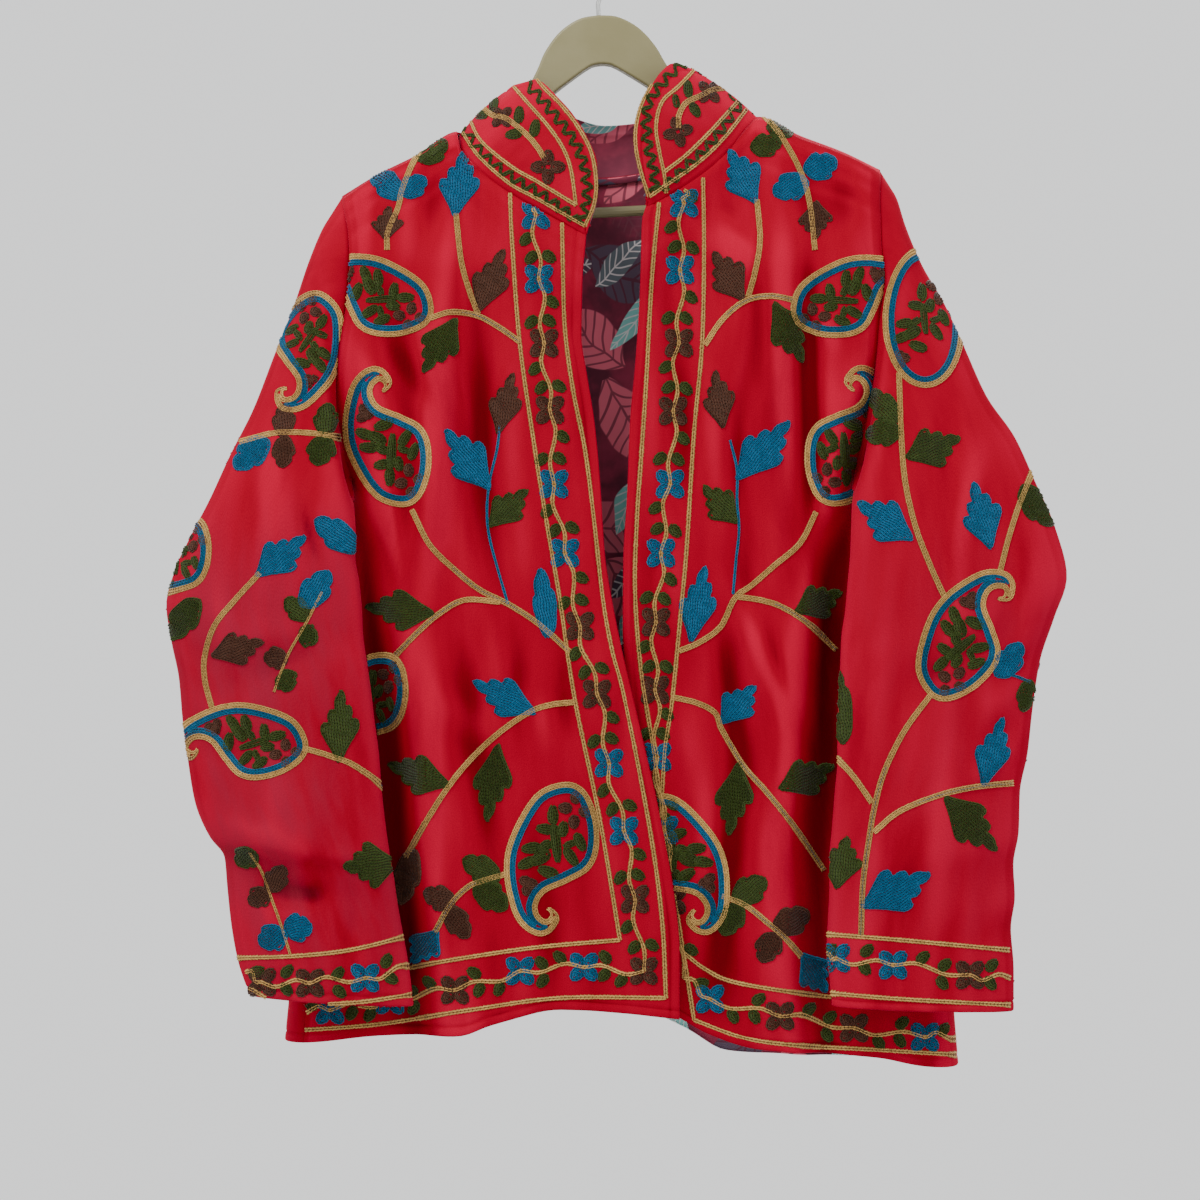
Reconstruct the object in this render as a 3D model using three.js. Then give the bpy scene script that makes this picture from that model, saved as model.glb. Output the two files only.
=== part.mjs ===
// Embroidered velvet jacket hanging open on a hanger.
// Millimetres, +Z up. The front faces -Y. The origin is the hook's hanging point.
// Left and right are as seen from the front.

import * as THREE from 'three';

// ---- driving dimensions ------------------------------------------------------------------

const VELVET_WALL = 2.0;        // quilted velvet with its backing
const LINING_WALL = 1.0;
const SEAM_GAP = 0.3;
const ARMHOLE_GAP = 0.5;
const SIDE_ROLL = 22;           // width over which a panel turns into its side seam
const SHOULDER_ROLL = 12;       // drop over which a panel turns over the shoulder
const TUCKED_DEPTH = 23;        // half depth of the fronts where a sleeve lies over them
const ARMHOLE_FRONT = 30;
const ARMHOLE_BACK = 22;
const SIDE_WRAP = THREE.MathUtils.degToRad(75);  // the back comes round to the front here
const WRAP_FROM = 0.6;          // share of the panel's height where that begins

const HANGER_TILT = THREE.MathUtils.degToRad(2.8);
const HANGER_THICK = 14;
const HANGER_ROUND = 5;
const BAR_RADIUS = 4;
const BAR_DROP = 195;
const WIRE_RADIUS = 1.7;
const HOOK_RADIUS = 19;

// ---- cut lines of the jacket, as tables ---------------------------------------------------

// Shoulder seam in the hanger's own frame: distance from its middle, and height.
const SHOULDER_LINE = [
  { out: 115, z: -127.6 },
  { out: 146, z: -143.5 },
  { out: 178, z: -157.5 },
  { out: 206, z: -172.8 },
];

// Neck seam, front left from the shoulder down to the collar's point.
const NECK_LEFT = [
  { x: -107, y: -10, z: -145.7 },
  { x: -93, y: -22, z: -163.1 },
  { x: -69.5, y: -35, z: -182 },
  { x: -39.3, y: -44, z: -200 },
  { x: -10, y: -49, z: -216.5 },
];
const NECK_RIGHT = [
  { x: 112.5, y: -10, z: -130.6 },
  { x: 96, y: -25, z: -151.8 },
  { x: 65.7, y: -40, z: -176.7 },
  { x: 45.3, y: -46, z: -189.5 },
  { x: 34.7, y: -48, z: -195 },
];
const NECK_BACK = [
  { x: -98, y: 14, z: -144 },
  { x: -75.5, y: 24, z: -153 },
  { x: -38, y: 30, z: -160.8 },
  { x: 0, y: 32, z: -163.8 },
  { x: 38, y: 30, z: -159.3 },
  { x: 75.5, y: 24, z: -146.5 },
  { x: 102, y: 13, z: -132.9 },
];

// Armhole and side seam, from under the shoulder point to the hem.
const SIDE_LEFT = [
  { z: -216, x: -190.5 },
  { z: -236, x: -189.5 },
  { z: -269.5, x: -192 },
  { z: -306.5, x: -198 },
  { z: -342, x: -200.5 },
  { z: -374.5, x: -196.5 },
  { z: -401, x: -191 },
  { z: -491.5, x: -204 },
  { z: -605, x: -219 },
  { z: -718, x: -230 },
  { z: -827.5, x: -241 },
];
const SIDE_RIGHT = [
  { z: -188, x: 212.2 },
  { z: -225, x: 212.9 },
  { z: -246, x: 215 },
  { z: -272.6, x: 211.5 },
  { z: -307, x: 209 },
  { z: -342, x: 204 },
  { z: -370.7, x: 199 },
  { z: -393, x: 196 },
  { z: -461, x: 211 },
  { z: -552, x: 230 },
  { z: -642.5, x: 249 },
  { z: -733, x: 264 },
  { z: -846, x: 274 },
];
const UNDERARM_LEFT = -401;
const UNDERARM_RIGHT = -393;

// Free front edges, from the collar's point to the hem.
const EDGE_LEFT = [
  { z: -216.5, x: -10 },
  { z: -257, x: -13.5 },
  { z: -293, x: -14 },
  { z: -321, x: -10 },
  { z: -361, x: -4 },
  { z: -403, x: 0 },
  { z: -460, x: 4 },
  { z: -491.5, x: 9 },
  { z: -534, x: 17.5 },
  { z: -600, x: 33 },
  { z: -651, x: 44.5 },
  { z: -708, x: 55 },
  { z: -753, x: 59.5 },
  { z: -805, x: 59.5 },
];
const EDGE_RIGHT = [
  { z: -195, x: 34.7 },
  { z: -208, x: 31.5 },
  { z: -248, x: 30.5 },
  { z: -312, x: 26.5 },
  { z: -357, x: 22.6 },
  { z: -412, x: 20.4 },
  { z: -460, x: 17.5 },
  { z: -512.6, x: 17 },
  { z: -582, x: 21 },
  { z: -658, x: 28.7 },
  { z: -733, x: 36 },
  { z: -796, x: 41.5 },
];

const HEM_LEFT = [
  { x: -241, z: -827.5 },
  { x: -218, z: -826.5 },
  { x: -166, z: -821.5 },
  { x: -106, z: -819 },
  { x: -82, z: -811 },
  { x: -29, z: -799 },
  { x: 15, z: -801 },
  { x: 59.5, z: -805 },
];
const HEM_RIGHT = [
  { x: 41.5, z: -796 },
  { x: 60, z: -806 },
  { x: 81.5, z: -817.7 },
  { x: 112, z: -827.5 },
  { x: 140, z: -831 },
  { x: 214, z: -839 },
  { x: 252, z: -845.5 },
  { x: 274, z: -846 },
];
const HEM_BACK = [
  { x: -241, z: -827.5 },
  { x: -218, z: -826.5 },
  { x: -166, z: -816 },
  { x: -91, z: -807 },
  { x: -19, z: -803 },
  { x: 30, z: -807 },
  { x: 63, z: -821 },
  { x: 97, z: -840 },
  { x: 132, z: -843 },
  { x: 252, z: -845.5 },
  { x: 274, z: -846 },
];

// Sleeves: one row for each ring, from the armhole to the cuff. The outer and inner points
// are the ring's ends across the flattened tube; front and back are its half depths.
const SLEEVE_COLUMNS = ['outX', 'outY', 'outZ', 'inX', 'inY', 'inZ', 'front', 'back'];
const SLEEVE_LEFT = [
  [-197, 0, -183, -191, 0, -401, 30, 22],
  [-211, -2, -206, -193, -11, -406, 31, 22],
  [-222, -5, -233, -190, -24, -411, 31, 22],
  [-233, -9, -267, -186, -35, -418, 30, 22],
  [-247, -14, -304, -184, -44, -428, 28, 22],
  [-263, -19, -347, -183, -49, -442, 26, 22],
  [-280, -24, -382, -183, -51, -459, 25, 21],
  [-295, -29, -416, -180, -52, -478, 24, 21],
  [-309, -33, -444, -178, -53, -498, 24, 20],
  [-320, -37, -469, -177, -54, -517, 24, 20],
  [-326, -40, -495, -174, -55, -538, 25, 20],
  [-322, -42, -522, -171, -55, -559, 25, 20],
  [-316, -44, -550, -168, -56, -584, 24, 19],
  [-313, -46, -581, -165, -56, -606, 24, 19],
  [-309, -48, -609, -163, -57, -632, 25, 19],
  [-303, -50, -643, -160, -57, -659, 27, 19],
  [-292, -52, -668, -157, -57, -680, 28, 19],
  [-281, -50, -684, -154, -57, -697, 24, 19],
  [-279, -50, -706, -151, -57, -718, 21, 19],
  [-276, -51, -733, -147, -57, -740, 21, 19],
  [-271, -52, -760, -143, -57, -762, 21, 19],
  [-262, -53, -787, -139, -57, -794, 21, 19],
];
const SLEEVE_RIGHT = [
  [214, 0, -162, 196, 0, -393, 30, 22],
  [226, -2, -183, 198, -11, -399, 31, 22],
  [233, -5, -206, 195, -24, -404, 31, 22],
  [245, -9, -236, 191, -35, -411, 30, 22],
  [261, -14, -265, 189, -44, -422, 28, 22],
  [276, -19, -299, 188, -49, -438, 26, 22],
  [293, -24, -338, 187, -52, -458, 25, 21],
  [313, -29, -368, 185, -54, -478, 24, 21],
  [328, -33, -402, 183, -56, -499, 24, 20],
  [342, -37, -435, 180, -57, -520, 24, 20],
  [351, -40, -473, 179, -58, -543, 25, 20],
  [341, -42, -505, 178, -58, -565, 25, 20],
  [330, -45, -537, 177, -58, -588, 24, 19],
  [324, -48, -573, 177, -58, -611, 24, 19],
  [320, -50, -606, 175, -58, -635, 24, 19],
  [314, -52, -635, 173, -58, -661, 25, 19],
  [313, -53, -664, 171, -58, -685, 25, 19],
  [309, -53, -689, 171, -58, -707, 23, 19],
  [310, -54, -713, 170, -58, -729, 22, 19],
  [307, -54, -737, 169, -58, -750, 22, 19],
  [309, -55, -767, 171, -58, -771, 22, 19],
  [309, -55, -798, 173, -58, -794, 22, 19],
];
// Share of the way across a ring, from its outer to its inner end, for each of its vertices.
const RING_SHARES = [0, 0.015, 0.05, 0.11, 0.2, 0.33, 0.5, 0.67, 0.82, 0.94, 1];
const ARMHOLE_SQUARENESS = 0.7;

// Collar: the top edge above each place on the neck seam, given by its seamX.
const COLLAR_LEFT = [
  { seamX: -10, x: -8, y: -52, z: -211 },
  { seamX: -23, x: -2, y: -53, z: -190 },
  { seamX: -39, x: -2, y: -52, z: -167 },
  { seamX: -59, x: -9, y: -48, z: -146 },
  { seamX: -78, x: -20, y: -42, z: -127 },
  { seamX: -94, x: -34, y: -33, z: -110 },
  { seamX: -106, x: -48, y: -20, z: -96 },
  { seamX: -112.5, x: -63, y: -4, z: -91 },
];
const COLLAR_BACK = [
  { seamX: -112.5, x: -63, y: -4, z: -91 },
  { seamX: -102, x: -66, y: 12, z: -99 },
  { seamX: -79, x: -53, y: 26, z: -108 },
  { seamX: -42, x: -30, y: 34, z: -114 },
  { seamX: 0, x: 4, y: 37, z: -123 },
  { seamX: 42, x: 38, y: 34, z: -120 },
  { seamX: 79, x: 62, y: 26, z: -108 },
  { seamX: 106, x: 71, y: 12, z: -95 },
  { seamX: 118, x: 69, y: -4, z: -85 },
];
const COLLAR_RIGHT = [
  { seamX: 118, x: 69, y: -4, z: -85 },
  { seamX: 109, x: 57, y: -20, z: -84 },
  { seamX: 96, x: 48, y: -32, z: -91 },
  { seamX: 79, x: 38, y: -41, z: -106 },
  { seamX: 64, x: 29, y: -47, z: -125 },
  { seamX: 51, x: 26, y: -51, z: -148 },
  { seamX: 42, x: 29, y: -52, z: -168 },
  { seamX: 34.7, x: 34.5, y: -51, z: -189 },
];
const COLLAR_BULGE = 4;

// Half depth of the jacket at its middle, down from the shoulders.
const FRONT_DEPTH = [
  { z: -120, depth: 18 },
  { z: -180, depth: 26 },
  { z: -240, depth: 38 },
  { z: -400, depth: 42 },
  { z: -620, depth: 43 },
  { z: -850, depth: 46 },
];
const BACK_DEPTH = [
  { z: -120, depth: 18 },
  { z: -200, depth: 28 },
  { z: -300, depth: 31 },
  { z: -600, depth: 32 },
  { z: -850, depth: 34 },
];
// Inner edge of each sleeve, where the fronts have to stay tucked behind it.
const SLEEVE_EDGE_LEFT = [
  { z: -300, x: -226 },
  { z: -400, x: -196 },
  { z: -460, x: -183 },
  { z: -600, x: -166 },
  { z: -700, x: -154 },
  { z: -850, x: -138 },
];
const SLEEVE_EDGE_RIGHT = [
  { z: -300, x: 236 },
  { z: -400, x: 200 },
  { z: -460, x: 187 },
  { z: -600, x: 175 },
  { z: -700, x: 170 },
  { z: -850, x: 172 },
];
const TUCK_WIDTH = 32;
const NECK_LIP = 2;
const NECK_FALL = 170;
const OVERLAP_FROM = -470;      // height at which the left front starts to lie over the right
const OVERLAP_FULL = -560;
const OVERLAP_WIDTH = 90;
const OVERLAP_RISE = 8;
const OVERLAP_DROP = 7;

// Largest folds: a soft ridge (rise above 0) or trough along a line from a top to a bottom end.
const FOLDS_FRONT = [
  { topX: -117, topZ: -215, endX: -122, endZ: -465, width: 15, rise: 8 },
  { topX: -94, topZ: -225, endX: -87, endZ: -470, width: 13, rise: -6 },
  { topX: -130, topZ: -520, endX: -128, endZ: -740, width: 13, rise: 8 },
  { topX: -98, topZ: -520, endX: -72, endZ: -740, width: 18, rise: -5 },
  { topX: -158, topZ: -355, endX: -146, endZ: -500, width: 12, rise: -4 },
  { topX: 88, topZ: -190, endX: 112, endZ: -250, width: 14, rise: 4 },
  { topX: 132, topZ: -227, endX: 142, endZ: -400, width: 13, rise: 8 },
  { topX: 155, topZ: -235, endX: 161, endZ: -450, width: 11, rise: -9 },
  { topX: 142, topZ: -500, endX: 143, endZ: -630, width: 14, rise: 6 },
  { topX: 130, topZ: -630, endX: 126, endZ: -800, width: 16, rise: 9 },
  { topX: 104, topZ: -500, endX: 98, endZ: -770, width: 15, rise: -5 },
  { topX: 66, topZ: -265, endX: 58, endZ: -480, width: 18, rise: -3 },
];
const FOLDS_BACK = [
  { topX: -120, topZ: -230, endX: -132, endZ: -760, width: 20, rise: 6 },
  { topX: -70, topZ: -260, endX: -64, endZ: -640, width: 18, rise: -6 },
  { topX: -8, topZ: -220, endX: 10, endZ: -820, width: 24, rise: 5 },
  { topX: 58, topZ: -280, endX: 70, endZ: -800, width: 17, rise: -6 },
  { topX: 120, topZ: -230, endX: 138, endZ: -830, width: 20, rise: 7 },
  { topX: 180, topZ: -300, endX: 205, endZ: -830, width: 18, rise: -6 },
];
const FOLDS_SLEEVES = [
  { topX: -213, topZ: -300, endX: -222, endZ: -455, width: 11, rise: -5 },
  { topX: -290, topZ: -560, endX: -200, endZ: -520, width: 14, rise: -4 },
  { topX: -240, topZ: -610, endX: -235, endZ: -690, width: 26, rise: 5 },
  { topX: -262, topZ: -705, endX: -205, endZ: -712, width: 9, rise: -6 },
  { topX: 232, topZ: -290, endX: 215, endZ: -430, width: 12, rise: -4 },
  { topX: 300, topZ: -520, endX: 215, endZ: -560, width: 14, rise: -4 },
  { topX: 262, topZ: -600, endX: 250, endZ: -760, width: 18, rise: 4 },
];

// ---- counts ---------------------------------------------------------------------------------

const ROLL_COLUMNS = 4;
const SHOULDER_COLUMNS = 4;
const NECK_COLUMNS = 8;
const NECK_CROWDING = 1.25;     // above 1 crowds the columns towards the shoulder seam
const BACK_NECK_COLUMNS = 5;    // from a shoulder's neck end to the middle of the back
const BODY_ROWS = 11;           // below the underarm
const COLLAR_ROWS = 4;

// ---- small helpers ----------------------------------------------------------------------------

const { lerp, smoothstep, clamp } = THREE.MathUtils;

/** Smooth value of one column of a table at a place along another, with no overshoot. */
function along(table, key, value, at) {
  const rows = table[0][key] > table[table.length - 1][key] ? [...table].reverse() : table;
  const last = rows.length - 1;
  const spot = clamp(at, rows[0][key], rows[last][key]);
  let low = 0;
  while (low < last - 1 && spot > rows[low + 1][key]) low += 1;
  const secant = (i) => (rows[i + 1][value] - rows[i][value]) / (rows[i + 1][key] - rows[i][key]);
  const slope = (i) => {
    if (i === 0) return secant(0);
    if (i === last) return secant(last - 1);
    const before = secant(i - 1);
    const after = secant(i);
    return before * after > 0 ? (2 * before * after) / (before + after) : 0;
  };
  const span = rows[low + 1][key] - rows[low][key];
  const t = (spot - rows[low][key]) / span;
  const t2 = t * t;
  const t3 = t2 * t;
  return (2 * t3 - 3 * t2 + 1) * rows[low][value]
    + (t3 - 2 * t2 + t) * span * slope(low)
    + (3 * t2 - 2 * t3) * rows[low + 1][value]
    + (t3 - t2) * span * slope(low + 1);
}

/** Height of the named folds at a place on the front view of a panel. */
function foldRise(folds, x, z) {
  let rise = 0;
  for (const fold of folds) {
    const runX = fold.endX - fold.topX;
    const runZ = fold.endZ - fold.topZ;
    const length = Math.hypot(runX, runZ);
    const share = ((x - fold.topX) * runX + (z - fold.topZ) * runZ) / (length * length);
    const off = ((x - fold.topX) * runZ - (z - fold.topZ) * runX) / length;
    const taper = smoothstep(share, -0.15, 0.25) * (1 - smoothstep(share, 0.75, 1.15));
    rise += fold.rise * taper * Math.exp(-((off / fold.width) ** 2));
  }
  return rise;
}

/** A point given in the hanger's frame, turned about the hanging point. */
function tilted(x, z) {
  return {
    x: x * Math.cos(HANGER_TILT) - z * Math.sin(HANGER_TILT),
    z: x * Math.sin(HANGER_TILT) + z * Math.cos(HANGER_TILT),
  };
}

// ---- the jacket's surface -------------------------------------------------------------------

const SIDES = {
  left: { sign: -1, neck: NECK_LEFT, seam: SIDE_LEFT, edge: EDGE_LEFT, hem: HEM_LEFT,
    underarm: UNDERARM_LEFT, sleeve: SLEEVE_LEFT, sleeveEdge: SLEEVE_EDGE_LEFT, wraps: true },
  right: { sign: 1, neck: NECK_RIGHT, seam: SIDE_RIGHT, edge: EDGE_RIGHT, hem: HEM_RIGHT,
    underarm: UNDERARM_RIGHT, sleeve: SLEEVE_RIGHT, sleeveEdge: SLEEVE_EDGE_RIGHT, wraps: false },
};
for (const side of Object.values(SIDES)) {
  side.shoulder = SHOULDER_LINE.map(({ out, z }) => tilted(side.sign * out, z));
  side.neckEnd = { ...side.shoulder[0], y: 0 };
  side.point = side.shoulder[side.shoulder.length - 1];
  side.seam = [side.point, ...side.seam];
  side.neck = [side.neckEnd, ...side.neck];
  side.frontTop = [...side.shoulder].reverse().concat(side.neck.slice(1));
  side.bottom = side.seam[side.seam.length - 1].z;
}
const backNeck = [SIDES.left.neckEnd, ...NECK_BACK, SIDES.right.neckEnd];
const backTop = [
  ...[...SIDES.left.shoulder].reverse(), ...NECK_BACK, ...SIDES.right.shoulder,
];

/** Rows down a side: those of the armhole match the sleeve's first ring, the rest are even. */
function rowShares(side) {
  const height = side.point.z - side.bottom;
  const armhole = (side.point.z - side.underarm) / height;
  const rows = RING_SHARES.map((share) => share * armhole);
  for (let i = 1; i <= BODY_ROWS; i += 1) rows.push(lerp(armhole, 1, i / BODY_ROWS));
  return rows;
}

/** Half depth of the armhole at a share of the way down it. */
function armholeDepth(side, z, deep) {
  const share = (side.point.z - z) / (side.point.z - side.underarm);
  if (share <= 0 || share >= 1) return 0;
  const round = Math.sqrt(1 - (2 * share - 1) ** 2);
  return deep * round ** ARMHOLE_SQUARENESS;
}

/** Roll over the shoulder: 0 on the top edge, 1 once the panel hangs. */
function shoulderRoll(drop) {
  return drop >= SHOULDER_ROLL ? 1 : Math.sqrt(Math.max(0, 1 - (1 - drop / SHOULDER_ROLL) ** 2));
}

/** How far a front stands forward of the shoulder line. */
function frontDepth(side, x, z, neckY, drop) {
  const tuckEdge = along(side.sleeveEdge, 'z', 'x', z);
  const inside = side.sign * (tuckEdge - x);
  const middle = along(FRONT_DEPTH, 'z', 'depth', z);
  let depth = lerp(TUCKED_DEPTH, middle, smoothstep(inside, 0, TUCK_WIDTH));
  depth = Math.min(depth, middle);
  const fromEdge = side.sign * (x - along(side.edge, 'z', 'x', z));
  const overlap = smoothstep(-z, -OVERLAP_FROM, -OVERLAP_FULL)
    * (1 - smoothstep(fromEdge, 0, OVERLAP_WIDTH));
  depth += overlap * (side.sign < 0 ? OVERLAP_RISE : -OVERLAP_DROP);
  depth += foldRise(FOLDS_FRONT, x, z);
  return Math.max(depth, neckFloor(neckY, drop));
}

function backDepth(x, z, neckY, drop) {
  const depth = along(BACK_DEPTH, 'z', 'depth', z) + foldRise(FOLDS_BACK, x, z);
  return Math.max(depth, neckFloor(neckY, drop));
}

/** Least depth below the neck seam, so that a panel falls away from the collar evenly. */
function neckFloor(neckY, drop) {
  return (neckY + NECK_LIP) * (1 - smoothstep(drop, 20, NECK_FALL));
}

/** Angle at which the side seam lies on the section: 0 is the silhouette. */
function seamAngle(side, share) {
  return side.wraps ? SIDE_WRAP * smoothstep(share, WRAP_FROM, 1) : 0;
}

/** Point of the section near a side. The angle runs from the back (below 0) to the front. */
function rolledPoint(side, x, z, angle, drop, neckY) {
  const front = angle >= 0;
  const deep = front ? ARMHOLE_FRONT : ARMHOLE_BACK;
  const hole = armholeDepth(side, z, deep);
  const depth = front
    ? frontDepth(side, x, z, neckY.front, drop)
    : backDepth(x, z, neckY.back, drop);
  const near = Math.max(hole + (depth - hole) * Math.sin(Math.abs(angle)), 0);
  const roll = shoulderRoll(drop);
  const seam = front ? neckY.front : neckY.back;
  const out = roll * near + (1 - roll) * seam;
  return front ? -out : out;
}

const neckDepth = (x) => {
  const side = x < 0 ? SIDES.left : SIDES.right;
  const beyond = side.sign * x >= side.sign * side.neckEnd.x;
  return {
    front: beyond ? 0 : -along(side.neck, 'x', 'y', x),
    back: beyond ? 0 : along(backNeck, 'x', 'y', x),
  };
};

/** Columns of one front: each gives x at the top, x at a row, and its angle in the section. */
function frontColumns(side, atShare) {
  const z = lerp(side.point.z, side.bottom, atShare);
  const sideX = along(side.seam, 'z', 'x', z);
  const top = side.frontTop[side.frontTop.length - 1];
  const bottomEdge = side.hem[side.sign < 0 ? side.hem.length - 1 : 0];
  const edgeZ = lerp(top.z, bottomEdge.z, atShare);
  const edgeX = along(side.edge, 'z', 'x', edgeZ);
  const inner = side.point.x - side.sign * SIDE_ROLL;
  const neckShare = (side.neckEnd.x - inner) / (top.x - inner);
  const columns = [];
  const start = seamAngle(side, atShare) + SEAM_GAP / 2 / SIDE_ROLL;
  for (let i = 0; i <= ROLL_COLUMNS; i += 1) {
    const angle = lerp(start, Math.PI / 2, i / ROLL_COLUMNS);
    columns.push({ x: sideX - side.sign * SIDE_ROLL * (1 - Math.cos(angle)), angle });
  }
  const from = sideX - side.sign * SIDE_ROLL;
  for (let i = 1; i <= SHOULDER_COLUMNS; i += 1) {
    columns.push({ x: lerp(from, edgeX, neckShare * i / SHOULDER_COLUMNS), angle: Math.PI / 2 });
  }
  for (let i = 1; i <= NECK_COLUMNS; i += 1) {
    const share = lerp(neckShare, 1, (i / NECK_COLUMNS) ** NECK_CROWDING);
    columns.push({ x: lerp(from, edgeX, share), angle: Math.PI / 2 });
  }
  return columns;
}

/** Half of the back's columns, from a side to the middle. */
function backColumns(side, atShare) {
  const z = lerp(side.point.z, side.bottom, atShare);
  const sideX = along(side.seam, 'z', 'x', z);
  const inner = side.point.x - side.sign * SIDE_ROLL;
  const neckShare = (side.neckEnd.x - inner) / (0 - inner);
  const from = sideX - side.sign * SIDE_ROLL;
  const columns = [];
  const start = seamAngle(side, atShare) - SEAM_GAP / 2 / SIDE_ROLL;
  for (let i = 0; i <= ROLL_COLUMNS; i += 1) {
    const angle = lerp(start, -Math.PI / 2, i / ROLL_COLUMNS);
    columns.push({ x: sideX - side.sign * SIDE_ROLL * (1 - Math.cos(angle)), angle, side });
  }
  for (let i = 1; i <= SHOULDER_COLUMNS; i += 1) {
    const x = lerp(from, 0, neckShare * i / SHOULDER_COLUMNS);
    columns.push({ x, angle: -Math.PI / 2, side });
  }
  for (let i = 1; i <= BACK_NECK_COLUMNS; i += 1) {
    const x = lerp(from, 0, lerp(neckShare, 1, (i / BACK_NECK_COLUMNS) ** NECK_CROWDING));
    columns.push({ x, angle: -Math.PI / 2, side });
  }
  return columns;
}

/** Grid of a panel's outer points, row by row, with the seam gap at its edges. */
function panelGrid(columnsAt, rows, top, hem) {
  const topColumns = columnsAt(0);
  const hemColumns = columnsAt(1);
  return rows.map((share) => columnsAt(share).map((column, i) => {
    const topZ = along(top, 'x', 'z', topColumns[i].x);
    const hemZ = along(hem, 'x', 'z', hemColumns[i].x);
    const z = lerp(topZ, hemZ, share);
    const side = column.side;
    const neckY = neckDepth(topColumns[i].x);
    const y = rolledPoint(side, column.x, z, column.angle, topZ - z, neckY);
    return new THREE.Vector3(column.x, y, z);
  }));
}

// ---- walls from grids ---------------------------------------------------------------------------

/** Unit normals of a grid of points, pointing away from the given inside test. */
function gridNormals(grid, closed, inward) {
  const rows = grid.length;
  const count = grid[0].length;
  return grid.map((row, i) => row.map((point, j) => {
    const up = grid[Math.max(i - 1, 0)][j];
    const down = grid[Math.min(i + 1, rows - 1)][j];
    const before = closed ? row[(j + count - 1) % count] : row[Math.max(j - 1, 0)];
    const after = closed ? row[(j + 1) % count] : row[Math.min(j + 1, count - 1)];
    const normal = new THREE.Vector3().subVectors(down, up)
      .cross(new THREE.Vector3().subVectors(after, before)).normalize();
    return normal.dot(inward(point, i, j)) < 0 ? normal.negate() : normal;
  }));
}

function closedGeometry(points, faces) {
  let volume = 0;
  for (const [a, b, c] of faces) {
    volume += points[a].dot(new THREE.Vector3().crossVectors(points[b], points[c]));
  }
  const turned = volume < 0 ? faces.map(([a, b, c]) => [a, c, b]) : faces;
  const geometry = new THREE.BufferGeometry();
  geometry.setAttribute('position', new THREE.Float32BufferAttribute(
    points.flatMap((point) => point.toArray()), 3));
  geometry.setIndex(turned.flat());
  return geometry;
}

/** Closed wall between a grid and the same grid moved along its inward directions. */
function wall(grid, inward, thickness, closed) {
  const rows = grid.length;
  const count = grid[0].length;
  const outer = grid.flat();
  const inner = outer.map((point, k) => {
    const direction = inward[Math.floor(k / count)][k % count];
    return point.clone().addScaledVector(direction, thickness);
  });
  const faces = [];
  const quad = (a, b, c, d) => faces.push([a, b, c], [a, c, d]);
  const points = [...outer, ...inner];
  // Edge strips split along their shorter diagonal, so that the two sides of a seam agree.
  const strip = (a, b, c, d) => (
    points[a].distanceTo(points[c]) <= points[b].distanceTo(points[d])
      ? quad(a, b, c, d)
      : quad(b, c, d, a));
  const at = (i, j) => i * count + (closed ? j % count : j);
  const shift = outer.length;
  const spans = closed ? count : count - 1;
  for (let i = 0; i < rows - 1; i += 1) {
    for (let j = 0; j < spans; j += 1) {
      quad(at(i, j), at(i + 1, j), at(i + 1, j + 1), at(i, j + 1));
      quad(at(i, j) + shift, at(i, j + 1) + shift, at(i + 1, j + 1) + shift, at(i + 1, j) + shift);
    }
  }
  for (let j = 0; j < spans; j += 1) {
    strip(at(0, j), at(0, j + 1), at(0, j + 1) + shift, at(0, j) + shift);
    const end = rows - 1;
    strip(at(end, j), at(end, j) + shift, at(end, j + 1) + shift, at(end, j + 1));
  }
  if (!closed) {
    for (let i = 0; i < rows - 1; i += 1) {
      strip(at(i, 0), at(i, 0) + shift, at(i + 1, 0) + shift, at(i + 1, 0));
      const end = count - 1;
      strip(at(i, end), at(i + 1, end), at(i + 1, end) + shift, at(i, end) + shift);
    }
  }
  return closedGeometry(points, faces);
}

// ---- directions shared by the two sides of a seam ------------------------------------------------

const DOWN = new THREE.Vector3(0, 0, -1);

/** Inward direction at the armhole seam, square to the body's side. */
function armholeInward(side, z, front) {
  const share = clamp((side.point.z - z) / (side.point.z - side.underarm), 0, 1);
  const turn = Math.acos(clamp(1 - 2 * share, -1, 1));
  const direction = new THREE.Vector3(0, (front ? 1 : -1) * Math.sin(turn), -Math.cos(turn));
  return direction.normalize();
}

/** Inward direction at the neck seam: down at the shoulder seam, then towards the neck's middle. */
function neckInward(x, y) {
  const side = x < 0 ? SIDES.left : SIDES.right;
  const away = clamp(Math.abs(y) / 20, 0, 1);
  return new THREE.Vector3(-x, -y, 0).normalize()
    .addScaledVector(DOWN, 1 - away)
    .normalize();
}

/** Inward direction at the side seam, square to the section there. */
function sideInward(side, grid, i, share) {
  const angle = seamAngle(side, share);
  const point = grid[i][0];
  const depth = frontDepth(side, point.x, point.z, 0, NECK_FALL);
  return new THREE.Vector3(-side.sign * depth * Math.cos(angle), SIDE_ROLL * Math.sin(angle), 0)
    .normalize();
}

// ---- panels -------------------------------------------------------------------------------------

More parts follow.
